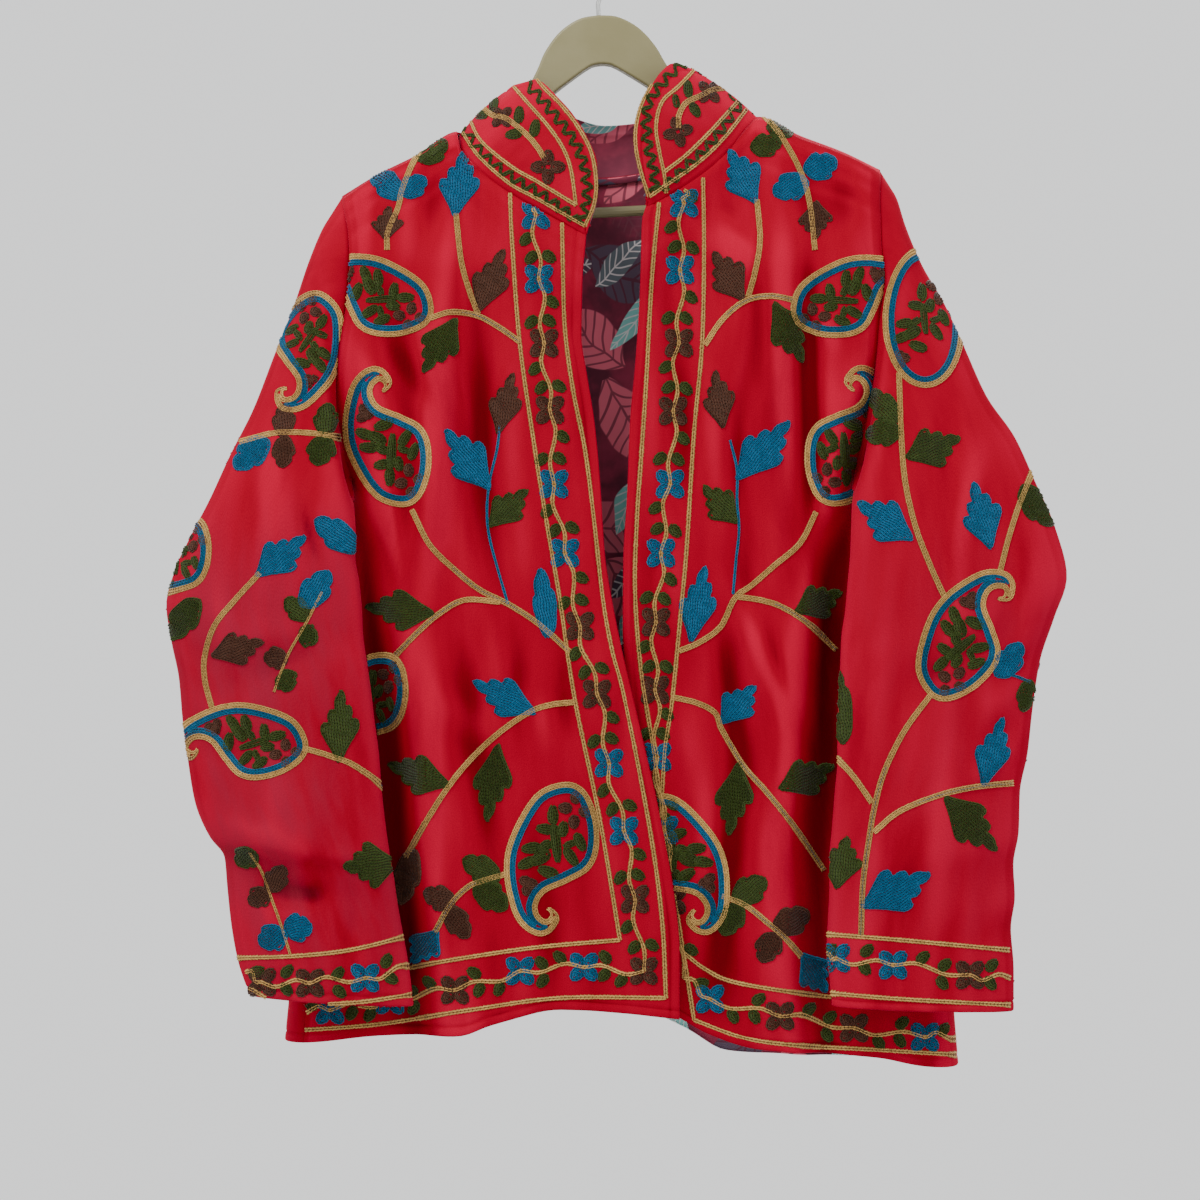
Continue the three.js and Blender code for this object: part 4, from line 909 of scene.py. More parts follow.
def lining_material(name, ground, leaf_light, leaf_dark, accent, line, scale):
    """Printed cotton: two scatters of plain leaves over a ground, with thin pale lines."""
    material, graph, shader = new_material(name, Roughness=0.72, Sheen_Weight=0.1,
                                           Sheen_Roughness=0.5, Specular_IOR_Level=0.3)
    place = graph.flat_place()
    place = graph.mix(0.03, place, graph.noise(place, 14.0, 2.0, 0.5, output=1), "ADD")
    shifted = graph.stretched(place, (1, 1, 1), (0.37, 0.21, 0.0))
    big, small = (graph.add("ShaderNodeGroup", {
        "Place": where, "Scale": size, "Slimness": slim, "Veins": veins},
        node_tree=leaf_group()).outputs for where, size, slim, veins in (
            (place, scale, 0.30, 13.0), (shifted, scale * 1.45, 0.22, 15.0)))
    wash = graph.noise(place, 26.0, 4.0, 0.6)
    colour = graph.mix(graph.spread(wash, 0.35, 0.65), rgba(ground[0]), rgba(ground[1]))
    tone = graph.mix(graph.spread(big["Tone"], 0.35, 0.55), rgba(leaf_dark), rgba(leaf_light))
    tone = graph.mix(graph.math("MULTIPLY", big["Vein"], 0.75), tone, rgba(ground[1]))
    colour = graph.mix(big["Leaf"], colour, tone)
    tone = graph.mix(graph.spread(small["Tone"], 0.6, 0.7), rgba(leaf_dark), rgba(accent))
    tone = graph.mix(graph.math("MULTIPLY", small["Vein"], 0.8), tone, rgba(line))
    picked = graph.math("MULTIPLY", small["Leaf"], graph.spread(small["Tone"], 0.28, 0.34))
    weave = graph.noise(place, 1900.0, 1.0)
    graph.feed(shader, {"Base Color": graph.mix(picked, colour, tone),
                        "Normal": graph.bump(weave, 0.12, 0.0003)})
    return material


def thread_material(name, colour, dark_tone_and_shade, bright):
    """Twisted thread: each link has its own tone, its strands show as fine lines, and painted shade
    darkens each link's low points.
    """
    material, graph, shader = new_material(name, Roughness=0.6, Sheen_Weight=0.08,
                                           Sheen_Roughness=0.4, Specular_IOR_Level=0.2)
    place = graph.place()
    strand = graph.noise(place, 1500.0, 2.0, 0.6)
    patch = graph.noise(place, 60.0, 2.0, 0.5)
    mixed = graph.mix(graph.spread(graph.attribute("tone"), 0.0, 1.0, 0.3, 0.8), rgba(dark_tone_and_shade),
                      rgba(bright))
    mixed = graph.mix(graph.spread(patch, 0.35, 0.65, 0.4, 0.6), mixed, rgba(colour))
    mixed = graph.mix(graph.spread(strand, 0.62, 0.4, 0.0, 0.3), mixed, rgba(dark_tone_and_shade))
    # Painted shade: the low points of each link, tucked down between strands, turn towards the dark
    # colour.
    low = graph.spread(graph.attribute("low"), 0.25, 0.85, 0.0, 0.95)
    graph.feed(shader, {"Base Color": graph.mix(low, mixed, rgba(dark_tone_and_shade)),
                        "Normal": graph.bump(strand, 0.3, 0.0003)})
    return material


def paint_material(name, colour, paler):
    """Satin paint with soft mottling and small scuffs."""
    material, graph, shader = new_material(name, Roughness=0.42, Specular_IOR_Level=0.45)
    cloud = graph.noise(graph.place(), 18.0, 4.0, 0.6)
    fine = graph.noise(graph.stretched(graph.place(), (1.0, 1.0, 6.0)), 220.0, 3.0, 0.6)
    colour = graph.mix(graph.spread(cloud, 0.35, 0.7, 0.0, 0.5), rgba(colour), rgba(paler))
    colour = graph.mix(graph.spread(fine, 0.64, 0.74, 0.0, 0.35), colour, rgba(paler))
    graph.feed(shader, {"Base Color": colour,
                        "Roughness": graph.spread(fine, 0.3, 0.7, 0.36, 0.52),
                        "Normal": graph.bump(fine, 0.08, 0.0004)})
    return material


def wire_material(name):
    """Drawn wire, with fine streaks along the hook."""
    material, graph, shader = new_material(name, Metallic=1.0, Roughness=0.3)
    drawn = graph.noise(graph.stretched(graph.place(), (1.0, 1.0, 0.15)), 900.0, 2.0)
    graph.feed(shader, {
        "Base Color": graph.mix(drawn, rgba((0.42, 0.42, 0.41)), rgba((0.66, 0.66, 0.64))),
        "Roughness": graph.spread(drawn, 0.3, 0.7, 0.24, 0.4)})
    return material


def plain_material(name, colour):
    """Nearly even paint, for the floor."""
    material, graph, shader = new_material(name, Roughness=0.9, Specular_IOR_Level=0.2)
    light = tuple(min(1, c * 1.03) for c in colour)
    cloud = graph.noise(graph.place(), 3.0, 3.0)
    graph.feed(shader, {"Base Color": graph.mix(cloud, rgba(colour), rgba(light))})
    return material


# ---- chain stitches ----

# The pattern is drawn on a flat grid, x to the right and y down, and laid on the cloth as seen
# from the middle of the front or of the back.
GRID_UNIT = 0.755
GRID_MIDDLE = 600.0
GRID_TOP = -51.0
VIEW_AWAY = 2330.0
VIEW_HEIGHT = -491.5
VIEW_PLANE = 30.0
ROW_LIFT = 0.25
ROW_HEIGHT = 1.25
TRACE_STEP = 1.3
LARGEST_JUMP = 14.0
STEEP_WIDTH = 1.6

# Widths and spacings of the rows, in units of the grid.
LINE_WIDTH = 3.3
CORD_WIDTH = 2.3
CORD_SPREAD = 1.4
CORE_WIDTH = 0.9
FILL_WIDTH = 2.45
FILL_SPACING = 2.7
FILL_END = 1.6
FILL_STEP = 1.1
PETAL_WIDTH = 2.8
ZIGZAG_WIDTH = 3.4
ZIGZAG_SWAY = 4.2
ZIGZAG_WAVE = 13.5
BAND_FLOWER = 17.5
VINE_SWAY = 4.5
VINE_LEAF = 7.2
# Leaves of a vine between two flowers nearer than a distance: share of the way, and hand.
VINE_LEAVES = ((40, ((0.5, 1),)), (58, ((0.52, 1), (0.52, -1))),
               (math.inf, ((0.37, 1), (0.66, 1), (0.66, -1))))


def smooth_line(points, closed=False, step=1.6):
    """Even points along a soft curve through the given ones."""
    points = np.array(points, float)
    if len(points) < 3 and not closed:
        count = max(2, int(np.linalg.norm(points[-1] - points[0]) / step))
        return lerp(points[:1], points[-1:], np.linspace(0, 1, count)[:, None])
    if closed:
        ring = np.concatenate([points[-1:], points, points[:2]])
    else:
        ring = np.concatenate([2 * points[:1] - points[1:2], points,
                               2 * points[-1:] - points[-2:-1]])
    pieces = []
    for a, b, c, d in zip(ring, ring[1:], ring[2:], ring[3:]):
        count = max(2, int(np.linalg.norm(c - b) / step))
        t = np.linspace(0, 1, count, endpoint=False)[:, None]
        pieces.append(0.5 * (2 * b + (c - a) * t + (2 * a - 5 * b + 4 * c - d) * t * t
                             + (3 * b - a - 3 * c + d) * t ** 3))
    if not closed:
        pieces.append(points[-1:])
    return np.concatenate(pieces)


def side_of(line, closed=False):
    """Unit directions square to a line, to its left as it runs."""
    if closed:
        run = np.roll(line, -1, axis=0) - np.roll(line, 1, axis=0)
    else:
        run = np.gradient(line, axis=0)
    run /= np.maximum(np.linalg.norm(run, axis=1, keepdims=True), 1e-9)
    return np.stack([run[:, 1], -run[:, 0]], axis=1)


def turned(x, y, degrees):
    """Points of a flat shape, turned."""
    a = math.radians(degrees)
    return np.stack([x * math.cos(a) - y * math.sin(a), x * math.sin(a) + y * math.cos(a)], 1)


def inset_rows(outline, distance):
    """The runs of an outline's inner parallel at a distance, without its crossings."""
    inward = side_of(outline, closed=True)
    x, y = outline.T
    if np.sum(x * np.roll(y, -1) - y * np.roll(x, -1)) > 0:
        inward = -inward
    moved = outline + inward * distance
    gaps = np.linalg.norm(moved[:, None] - outline[None], axis=2).min(axis=1)
    kept = gaps > distance * 0.96
    if kept.all():
        return [np.concatenate([moved, moved[:1]])]
    start = int(np.argmin(kept))
    moved, kept = np.roll(moved, -start, axis=0), np.roll(kept, -start)
    return [np.array(run) for run in unbroken(
        point if keep else None for point, keep in zip(moved, kept))]


def sprig():
    """Each leaf and petal of a drop's sprig, with its thread."""
    for thread, parts in PAISLEY_SPRIG.items():
        for part in parts:
            yield (thread, *part)


class Pattern:
    """Rows of chain stitches on the flat grid, by thread and by the sheet that carries them."""

    def __init__(self):
        self.rows = []
        self.behind = False
        self.shift = 0.0

    def row(self, thread, sheet, line, width=LINE_WIDTH):
        line = np.asarray(line, float) + (self.shift, 0)
        self.rows.append((thread, sheet, line, width, self.behind))

    def cord(self, sheet, points):
        """A stem: two gold rows side by side, some with a thin blue one between them."""
        line = smooth_line(points)
        for distance in (-CORD_SPREAD, CORD_SPREAD):
            self.row("gold", sheet, line + side_of(line) * distance, CORD_WIDTH)
        if len(points) % 2:
            self.row("blue", sheet, line[len(line) // 3:], CORE_WIDTH)

    def fill(self, thread, sheet, outline, along):
        """One row just inside an outline, then rows side by side that run along it."""
        for run in inset_rows(outline, FILL_SPACING * 0.5):
            self.row(thread, sheet, run, FILL_WIDTH)
        run = along / np.linalg.norm(along)
        spin = np.array([[run[0], -run[1]], [run[1], run[0]]])
        flat = outline @ spin
        onward = np.roll(flat, -1, axis=0)
        low, high = flat[:, 1].min() + FILL_SPACING, flat[:, 1].max() - FILL_SPACING
        for level in np.linspace(low, high, max(1, int(round((high - low) / FILL_SPACING)) + 1)):
            cut = (flat[:, 1] > level) != (onward[:, 1] > level)
            share = (level - flat[cut, 1]) / (onward[cut, 1] - flat[cut, 1])
            ends = np.sort(lerp(flat[cut, 0], onward[cut, 0], share))
            for start, stop in zip(ends[::2], ends[1::2]):
                spots = np.arange(start + FILL_END, stop - FILL_END, FILL_STEP)
                if len(spots) < 3:
                    continue
                sway = level + 0.5 * np.sin(spots * 0.35 + level * 0.2)
                line = np.stack([spots, sway], axis=1)
                gaps = np.linalg.norm(line[:, None] - flat[None], axis=2).min(axis=1)
                line = line[gaps > FILL_SPACING * 0.78]
                if len(line) > 2:
                    self.row(thread, sheet, line @ spin.T, FILL_WIDTH)

    def oval(self, thread, sheet, centre, long, wide, angle):
        """A petal or small leaf: rings in an oval turned by an angle in degrees."""
        turn = np.linspace(0, 2 * math.pi, 19)
        rings = max(1, int(round(wide / FILL_SPACING)))
        for ring in range(rings):
            inset = (ring + 0.5) * wide / rings
            x = (long - inset) * np.cos(turn)
            y = (wide - inset) * np.sin(turn) * (1 - 0.18 * np.cos(turn))
            self.row(thread, sheet, turned(x, y, angle) + np.array(centre), PETAL_WIDTH)

    def flower(self, thread, sheet, centre, size, angle=0.0):
        """Open flower of four oval petals; size is from its middle to a petal's tip."""
        for toward in range(45, 360, 90):
            a = math.radians(angle + toward)
            reach = size * 0.58
            middle = (centre[0] + reach * math.cos(a), centre[1] + reach * math.sin(a))
            self.oval(thread, sheet, middle, size * 0.46, size * 0.37, angle + toward)

    def leaf(self, thread, sheet, base, tip, width):
        """Leaf: a wedge from its stalk, and stepped lobes to its tip; small ones are blunter."""
        edge = LEAF_EDGE if width > SMALL_LEAF else BLUNT_LEAF_EDGE
        base, tip = np.array(base, float), np.array(tip, float)
        run = tip - base
        side = np.array([-run[1], run[0]]) / np.linalg.norm(run) * width / 2
        shape = [base + run * s + side * w for s, w in edge]
        shape += [base + run * (s - 0.06) - side * w for s, w in reversed(edge[1:-1])]
        self.fill(thread, sheet, smooth_line(shape, closed=True), run)

    def zigzag(self, sheet, points):
        """A green zigzag row along a curve."""
        line = smooth_line(points, step=1.0)
        offset = ZIGZAG_SWAY * np.sin(2 * math.pi * run_lengths(line) / ZIGZAG_WAVE)
        self.row("green", sheet, line + side_of(line) * offset[:, None], ZIGZAG_WIDTH)

    def ringed(self, sheet, outline):
        """Gold rows inside an outline, then blue ones."""
        for thread, distance, width in PAISLEY_RINGS:
            for run in inset_rows(outline, distance):
                self.row(thread, sheet, run, width)

    def paisley(self, sheet, centre, scale, angle, mirrored):
        """Drop with a hooked tail: gold outside, blue inside, and a sprig with two flowers."""
        turn = math.radians(angle)
        spin = np.array([[math.cos(turn), math.sin(turn)], [-math.sin(turn), math.cos(turn)]])
        flip = np.array([-1.0 if mirrored else 1.0, 1.0])

        def placed(points):
            return (np.array(points, float) * scale * flip) @ spin + np.array(centre)

        self.ringed(sheet, smooth_line(placed(PAISLEY_EDGE), closed=True))
        for thread, x, y, long, wide, lean in sprig():
            a = math.radians(lean)
            middle, ahead = placed([(x, y), (x + math.cos(a), y + math.sin(a))])
            heading = ahead - middle
            self.oval(thread, sheet, middle, long * scale, wide * scale,
                      math.degrees(math.atan2(heading[1], heading[0])))

    def wreath(self, sheet, centre, wide, high, lean):
        """Closed oval: gold outside, blue inside, with a sprig and two flowers."""
        turn = np.linspace(0, 2 * math.pi, 72, endpoint=False)
        x, y = wide * np.sin(turn) * (1 + 0.10 * np.cos(turn)), high * np.cos(turn)
        self.ringed(sheet, turned(x, y, lean) + np.array(centre))
        for thread, x, y, long, wide, lean in sprig():
            self.oval(thread, sheet, (centre[0] + x * 0.8 - 2, centre[1] + y * 0.95 - 4),
                      long * 0.85, wide * 0.85, lean)

    def vine(self, sheet, flowers):
        """Wavy stem through a row of flowers, with a leaf and a pair of leaves between each two."""
        middles = [np.array(flower[:2], float) for flower in flowers]
        line = []
        for k, (a, b) in enumerate(zip(middles, middles[1:])):
            length = np.linalg.norm(b - a)
            run = (b - a) / length
            turn = 1 if k % 2 else -1
            side = np.array([-run[1], run[0]]) * turn
            line += [a, lerp(a, b, 0.3) + side * VINE_SWAY,
                     lerp(a, b, 0.7) - side * VINE_SWAY * 0.6]
            heading = math.degrees(math.atan2(run[1], run[0]))
            places = next(places for most, places in VINE_LEAVES if length < most)
            for share, hand in places:
                middle = lerp(a, b, share) + side * hand * VINE_LEAF * 1.25 + side * (
                    VINE_SWAY * 0.5 if share < 0.5 else -VINE_SWAY * 0.5)
                self.oval("green", sheet, middle, VINE_LEAF * 1.08, VINE_LEAF * 0.74,
                          heading + hand * turn * 48)
        line.append(middles[-1])
        for x, y, thread, *size in flowers:
            if thread:
                self.flower(thread, sheet, (x, y), size[0] if size else BAND_FLOWER)
        self.row("gold", sheet, smooth_line(line))


LEAF_EDGE = (
    (0.0, 0.0), (0.05, 0.14), (0.2, 0.42), (0.36, 0.78), (0.47, 1.0), (0.56, 1.0), (0.605, 0.88),
    (0.61, 0.62), (0.68, 0.66), (0.76, 0.60), (0.79, 0.48), (0.79, 0.28), (0.86, 0.30),
    (0.94, 0.25), (0.985, 0.14), (1.0, 0.0))
SMALL_LEAF = 31.0
BLUNT_LEAF_EDGE = (
    (0.0, 0.0), (0.04, 0.30), (0.14, 0.64), (0.32, 0.86), (0.48, 1.0), (0.6, 0.98), (0.67, 0.84),
    (0.69, 0.68), (0.79, 0.7), (0.89, 0.58), (0.97, 0.34), (1.0, 0.0))
PAISLEY_EDGE = (
    (-48, 34), (-42, -1), (-17.6, -43), (12, -56), (33, -48), (45.6, -20), (46.7, 11), (37.6, 31.5),
    (17, 44), (-6, 54.5), (-14, 66), (-13, 76), (-6, 81.5), (-1.5, 76), (-6, 70.6), (-1.5, 69.4),
    (6, 76), (6.5, 84), (-1.5, 94.7), (-14, 98), (-29, 90), (-40.5, 71.7))
PAISLEY_RINGS = (("gold", 1.4, 2.3), ("gold", 4.2, 2.3), ("blue", 7.1, 2.4), ("blue", 9.9, 2.4))
# Leaves and petals inside a drop, by thread: place, half length, half width and lean.
PAISLEY_SPRIG = {
    "green": (
        (4, 5, 20, 4.6, 84), (1, -23, 10, 5.2, -92), (-7, -9, 9, 5.0, 188), (11, -9, 8, 5.2, -78),
        (-21, 10, 10, 5.4, 172), (-7, 8, 8, 4.6, 150), (-25, 25, 10, 5.4, 155),
        (-12, 20, 12, 6.6, 150), (-4, 34, 11, 5.8, 200), (18, 6, 8, 3.8, -20), (28, 4, 10, 4.8, 64),
        (19, 19, 11, 4.8, 55)),
    "brown": (
        (24, -41, 6.5, 5.4, -80), (13, -30, 7, 5.4, 185), (33, -26, 6.5, 5.2, 40),
        (22, -16, 7, 5.4, 95), (-27, 43, 6, 5, 200), (-20, 46, 6, 5, 20), (-25, 52, 6, 5, 100)),
}


# ---- the pattern, sheet by sheet ----

# Rows of single gold stitches that frame the bands along the edges and cuffs.
BORDER_LINES = {
    "front_left": (
        ((510, 192), (512, 240), (520, 345), (535, 450), (548, 530), (560, 600), (575, 700),
         (600, 820), (620, 940)),
        ((620, 940), (540, 947), (470, 957), (409, 968), (340, 985), (290, 992)),
        ((562, 220), (563, 270), (565, 330), (573, 390), (585, 450), (594, 520), (603, 600),
         (612, 650), (625, 700), (650, 830), (662, 920), (666, 998)),
        ((666, 998), (560, 998), (470, 1010), (380, 1024), (304, 1030), (288, 1031))),
    "front_right": (
        ((703, 178), (704, 253), (702, 345), (694, 434), (687, 543), (682, 600), (672, 702),
         (664, 760), (662, 860), (681, 950)),
        ((681, 950), (705, 969), (738, 983), (823, 996), (900, 1002), (962, 1008)),
        ((659, 203), (652, 277), (646, 386), (641, 460), (637, 519), (635, 590), (641, 670),
         (655, 760), (672, 880), (694, 1020)),
        ((694, 1020), (741, 1037), (792, 1045), (880, 1050), (961, 1055))),
    "sleeve_left": (
        ((238, 958), (295, 956), (350, 950), (408, 936)),
        ((250, 988), (280, 1002), (349, 1003), (416, 994))),
    "sleeve_right": (((824, 934), (900, 940), (1009, 950)), ((828, 993), (900, 999), (1010, 1005))),
}
# Flowers that a band's wavy stem runs through: place, thread and size.
BAND_FLOWERS = {
    "front_left": (
        ((536, 196, ""), (536, 215, "blue"), (539, 279, "blue"), (544, 343, "brown"),
         (550, 410, "brown"), (554, 484, "blue"), (565, 553, "blue"), (580, 626, "brown"),
         (597, 694, "brown"), (609, 763, "blue"), (624, 831, "blue"), (635, 899, "brown"),
         (644, 971, "brown", 17)),
        ((644, 971, ""), (584, 967, "blue"), (520, 971, "blue"), (455, 990, "brown"),
         (390, 1000, "blue"), (330, 1010, "blue"), (292, 1012, ""))),
    "front_right": (
        ((684, 190, ""), (684, 203, "blue"), (680, 270, "blue"), (679, 343, "brown"),
         (673, 411, "brown"), (670, 484, "blue"), (661, 553, "blue"), (656, 622, "brown"),
         (655, 690, "brown"), (657, 757, "blue"), (664, 830, "blue"), (672, 900, "brown"),
         (684, 978, "")),
        ((684, 978, ""), (710, 999, "blue"), (780, 1016, "brown"), (854, 1028, "brown"),
         (925, 1037, "blue"), (962, 1036, ""))),
    "sleeve_left": (
        ((246, 972, ""), (262, 982, "brown"), (310, 983, "brown"), (365, 978, "blue"),
         (412, 966, "")),),
    "sleeve_right": (
        ((826, 957, ""), (836, 958, "blue"), (893, 965, "blue"), (970, 975, "brown"),
         (1010, 978, "")),),
}
# Stems of two gold rows.
STEMS = {
    "front_left": (
        ((424, 146), (412, 165), (402, 190), (398, 208), (388, 232), (387, 250)),
        ((456, 214), (461, 260), (469, 290), (478, 314)),
        ((430, 318), (452, 312), (478, 316), (500, 328), (520, 342)),
        ((412, 510), (430, 545), (455, 570), (480, 590), (510, 605), (540, 625), (570, 652)),
        ((500, 602), (465, 600), (440, 613), (418, 632), (395, 656)),
        ((575, 702), (550, 705), (530, 712), (500, 732), (470, 760), (448, 787), (430, 815),
         (406, 857)),
        ((506, 874), (485, 880), (468, 887), (450, 905), (435, 932))),
    "front_right": (
        ((760, 112), (778, 132), (793, 156), (803, 178), (810, 205), (815, 250)),
        ((757, 200), (760, 240), (755, 272), (748, 297)),
        ((705, 345), (722, 320), (745, 301), (770, 296), (794, 300)),
        ((816, 512), (800, 543), (775, 565), (752, 585), (735, 598), (721, 626), (700, 642),
         (679, 651)),
        ((738, 597), (760, 600), (782, 607), (810, 625), (836, 650)),
        ((672, 697), (697, 703), (715, 713), (722, 730), (743, 765), (765, 790), (783, 812),
         (800, 835), (824, 870)),
        ((722, 896), (745, 905), (768, 923), (785, 938), (801, 956))),
    "sleeve_left": (
        ((260, 573), (235, 600), (215, 625), (205, 655), (205, 680), (212, 708)),
        ((303, 748), (330, 756), (355, 766), (384, 790), (393, 830), (398, 870), (406, 938)),
        ((240, 442), (275, 433), (310, 433), (342, 438))),
    "sleeve_right": (
        ((899, 373), (901, 430), (905, 480), (915, 525), (930, 565), (945, 598)),
        ((1032, 472), (1019, 505), (1008, 540), (1000, 572)),
        ((932, 693), (905, 730), (885, 770), (875, 805), (869, 840), (863, 885), (861, 936)),
        ((832, 753), (850, 772), (862, 788), (872, 803)),
        ((874, 832), (900, 811), (940, 795), (975, 787), (1013, 783))),
}
# Thin stems of one row.
TENDRILS = {
    "front_left": (
        ("blue", (508, 604), (498, 570), (489, 535), (487, 508), (490, 480), (497, 450),
         (500, 426)),),
    "front_right": (
        ("blue", (733, 594), (736, 560), (739, 530), (737, 500), (737, 470), (730, 440)),),
    "sleeve_left": (
        ("gold", (322, 592), (305, 625), (288, 655), (274, 692)),
        ("gold", (250, 852), (262, 872), (272, 900), (281, 925), (291, 957))),
    "sleeve_right": (("blue", (998, 672), (1015, 676), (1030, 682)),),
}
# Lobed leaves by thread: stalk, tip and width.
LEAVES = {
    "front_left": {
        "blue": (
            (403, 196, 370, 172, 27), (402, 196, 425, 176, 25), (456, 216, 463, 150, 40),
            (491, 488, 444, 430, 42), (550, 637, 539, 568, 24), (536, 712, 472, 682, 38),
            (437, 930, 412, 964, 34)),
        "brown": (
            (387, 240, 388, 206, 32), (479, 312, 503, 248, 36), (499, 434, 512, 372, 32),
            (412, 850, 402, 905, 28), (455, 903, 423, 893, 26), (446, 908, 470, 937, 26)),
        "green": (
            (420, 162, 446, 140, 26), (455, 318, 424, 373, 38), (490, 527, 527, 488, 34),
            (434, 612, 365, 608, 40), (450, 784, 387, 765, 38), (497, 744, 488, 822, 38),
            (500, 878, 462, 860, 28), (474, 884, 508, 908, 30))},
    "front_right": {
        "green": (
            (752, 151, 781, 139, 25), (768, 131, 800, 122, 24), (773, 303, 804, 362, 38),
            (738, 522, 702, 486, 34), (796, 613, 842, 590, 36), (738, 762, 730, 836, 38),
            (780, 790, 834, 764, 38), (736, 902, 765, 877, 30), (738, 903, 724, 936, 28)),
        "blue": (
            (806, 178, 774, 196, 30), (806, 174, 836, 158, 30), (757, 202, 728, 150, 40),
            (738, 480, 789, 420, 42), (692, 642, 704, 565, 36), (722, 724, 755, 684, 36),
            (801, 955, 828, 992, 36)),
        "brown": (
            (815, 201, 816, 240, 34), (744, 299, 712, 252, 38), (724, 428, 714, 370, 32),
            (776, 931, 808, 910, 30), (774, 932, 763, 963, 28))},
    "sleeve_left": {
        "blue": (
            (266, 438, 236, 470, 30), (357, 548, 314, 520, 30), (257, 577, 305, 535, 38),
            (304, 608, 328, 570, 30), (284, 930, 260, 946, 30), (285, 930, 312, 925, 30)),
        "brown": (
            (284, 436, 284, 403, 24), (283, 436, 284, 468, 24), (212, 657, 264, 640, 34),
            (287, 656, 264, 660, 24), (268, 890, 250, 905, 24), (270, 892, 283, 865, 24)),
        "green": (
            (326, 434, 326, 403, 26), (324, 436, 318, 466, 30), (309, 617, 284, 600, 24),
            (299, 632, 318, 640, 24), (281, 672, 292, 690, 26), (196, 598, 172, 640, 30),
            (340, 762, 340, 690, 38), (397, 862, 343, 868, 46), (254, 850, 238, 866, 26))},
    "sleeve_right": {
        "green": (
            (899, 420, 868, 392, 26), (900, 428, 866, 438, 28), (907, 459, 960, 436, 42),
            (1020, 488, 1054, 524, 30), (1028, 680, 1024, 712, 20), (944, 798, 998, 850, 42),
            (838, 888, 846, 836, 40), (846, 742, 832, 664, 26)),
        "blue": (
            (913, 538, 857, 503, 42), (992, 548, 972, 482, 40), (999, 678, 1020, 642, 28),
            (984, 787, 1002, 716, 34), (863, 908, 930, 872, 46))},
}
# Drops: middle, scale, lean and whether it is mirrored.
DROPS = {
    "front_left": (
        (386, 296, 0.86, 92, False), (388, 456, 0.92, 178, True), (368, 697, 0.84, 10, False),
        (552, 838, 1.0, 0, False)),
    "front_right": (
        (838, 297, 0.86, -92, True), (848, 455, 0.92, 182, False), (674, 844, 0.98, -14, True)),
    "sleeve_left": (
        (313, 338, 0.80, 30, True), (174, 556, 0.78, 10, False), (258, 739, 0.86, 78, False)),
    "sleeve_right": ((955, 648, 0.93, 224, True),),
}
# Closed oval wreaths: middle, half width, half height and lean.
WREATHS = {"sleeve_right": ((923, 318, 40, 70, -3),)}


# The collar: single gold lines, green zigzags, stems, small leaves and flowers.
COLLAR_LINES = (
    ((526, 66), (544, 88), (561, 105), (578, 127), (591, 152), (596, 180), (594, 204), (585, 226)),
    ((457, 122), (477, 154), (509, 183), (536, 198), (585, 226)),
    ((507, 79), (527, 102), (548, 126), (563, 148), (571, 170), (576, 205)),
    ((470, 120), (482, 142), (512, 167), (538, 182), (576, 205)),
    ((678, 58), (662, 70), (650, 88), (641, 106), (636, 127), (636, 148), (641, 172), (649, 197)),
    ((649, 197), (663, 187), (695, 165), (723, 139), (750, 105)),
    ((697, 67), (679, 86), (662, 102), (656, 126), (659, 150), (664, 174), (666, 193)),
    ((664, 172), (685, 156), (705, 137), (722, 119), (741, 98)))
COLLAR_ZIGZAGS = (
    ((516, 72), (535, 92), (553, 113), (571, 136), (582, 158), (587, 182), (586, 206), (582, 224)),
    ((461, 124), (476, 146), (495, 165), (518, 181), (541, 194), (566, 212), (580, 222)),
    ((686, 62), (672, 73), (657, 90), (648, 105), (646, 123), (648, 146), (654, 172), (654, 192)),
    ((656, 192), (670, 182), (687, 166), (705, 150), (722, 129), (736, 109), (749, 101)))
COLLAR_STEMS = (
    ((479, 104), (492, 115), (507, 119), (527, 135), (538, 148), (544, 158)),
    ((678, 128), (679, 115), (686, 103), (700, 96), (713, 90), (728, 88)))
COLLAR_FLOWERS = ((548, 167, 17, 45), (502, 117, 12, 0), (678, 132, 15, 30), (709, 92, 13, 0))
COLLAR_LEAVES = (
    (494, 104, 8, 4.5, -80), (481, 115, 8, 4.5, 10), (519, 115, 9, 5, -85), (514, 134, 9, 5, 170),
    (535, 128, 9, 5, -80), (676, 101, 8, 4, -100), (688, 89, 9, 4.4, -95), (695, 110, 8, 4.6, 60),
    (720, 79, 7, 4, -140), (732, 96, 7, 4, 60))
# Round the back of the neck: heights up from the seam, or down from the top edge below nought,
# and flowers at a distance along the seam from its middle.
COLLAR_BACK_LINES = (3.0, 18.0, -18.0, -3.0)
COLLAR_BACK_ZIGZAGS = (10.5, -10.5)
COLLAR_BACK_FLOWERS = (
    (-190, 34, ""), (-126, 37, "brown", 13), (-63, 32, "brown", 13), (0, 36, "brown", 13),
    (63, 32, "brown", 13), (126, 37, "brown", 13), (190, 34, ""))
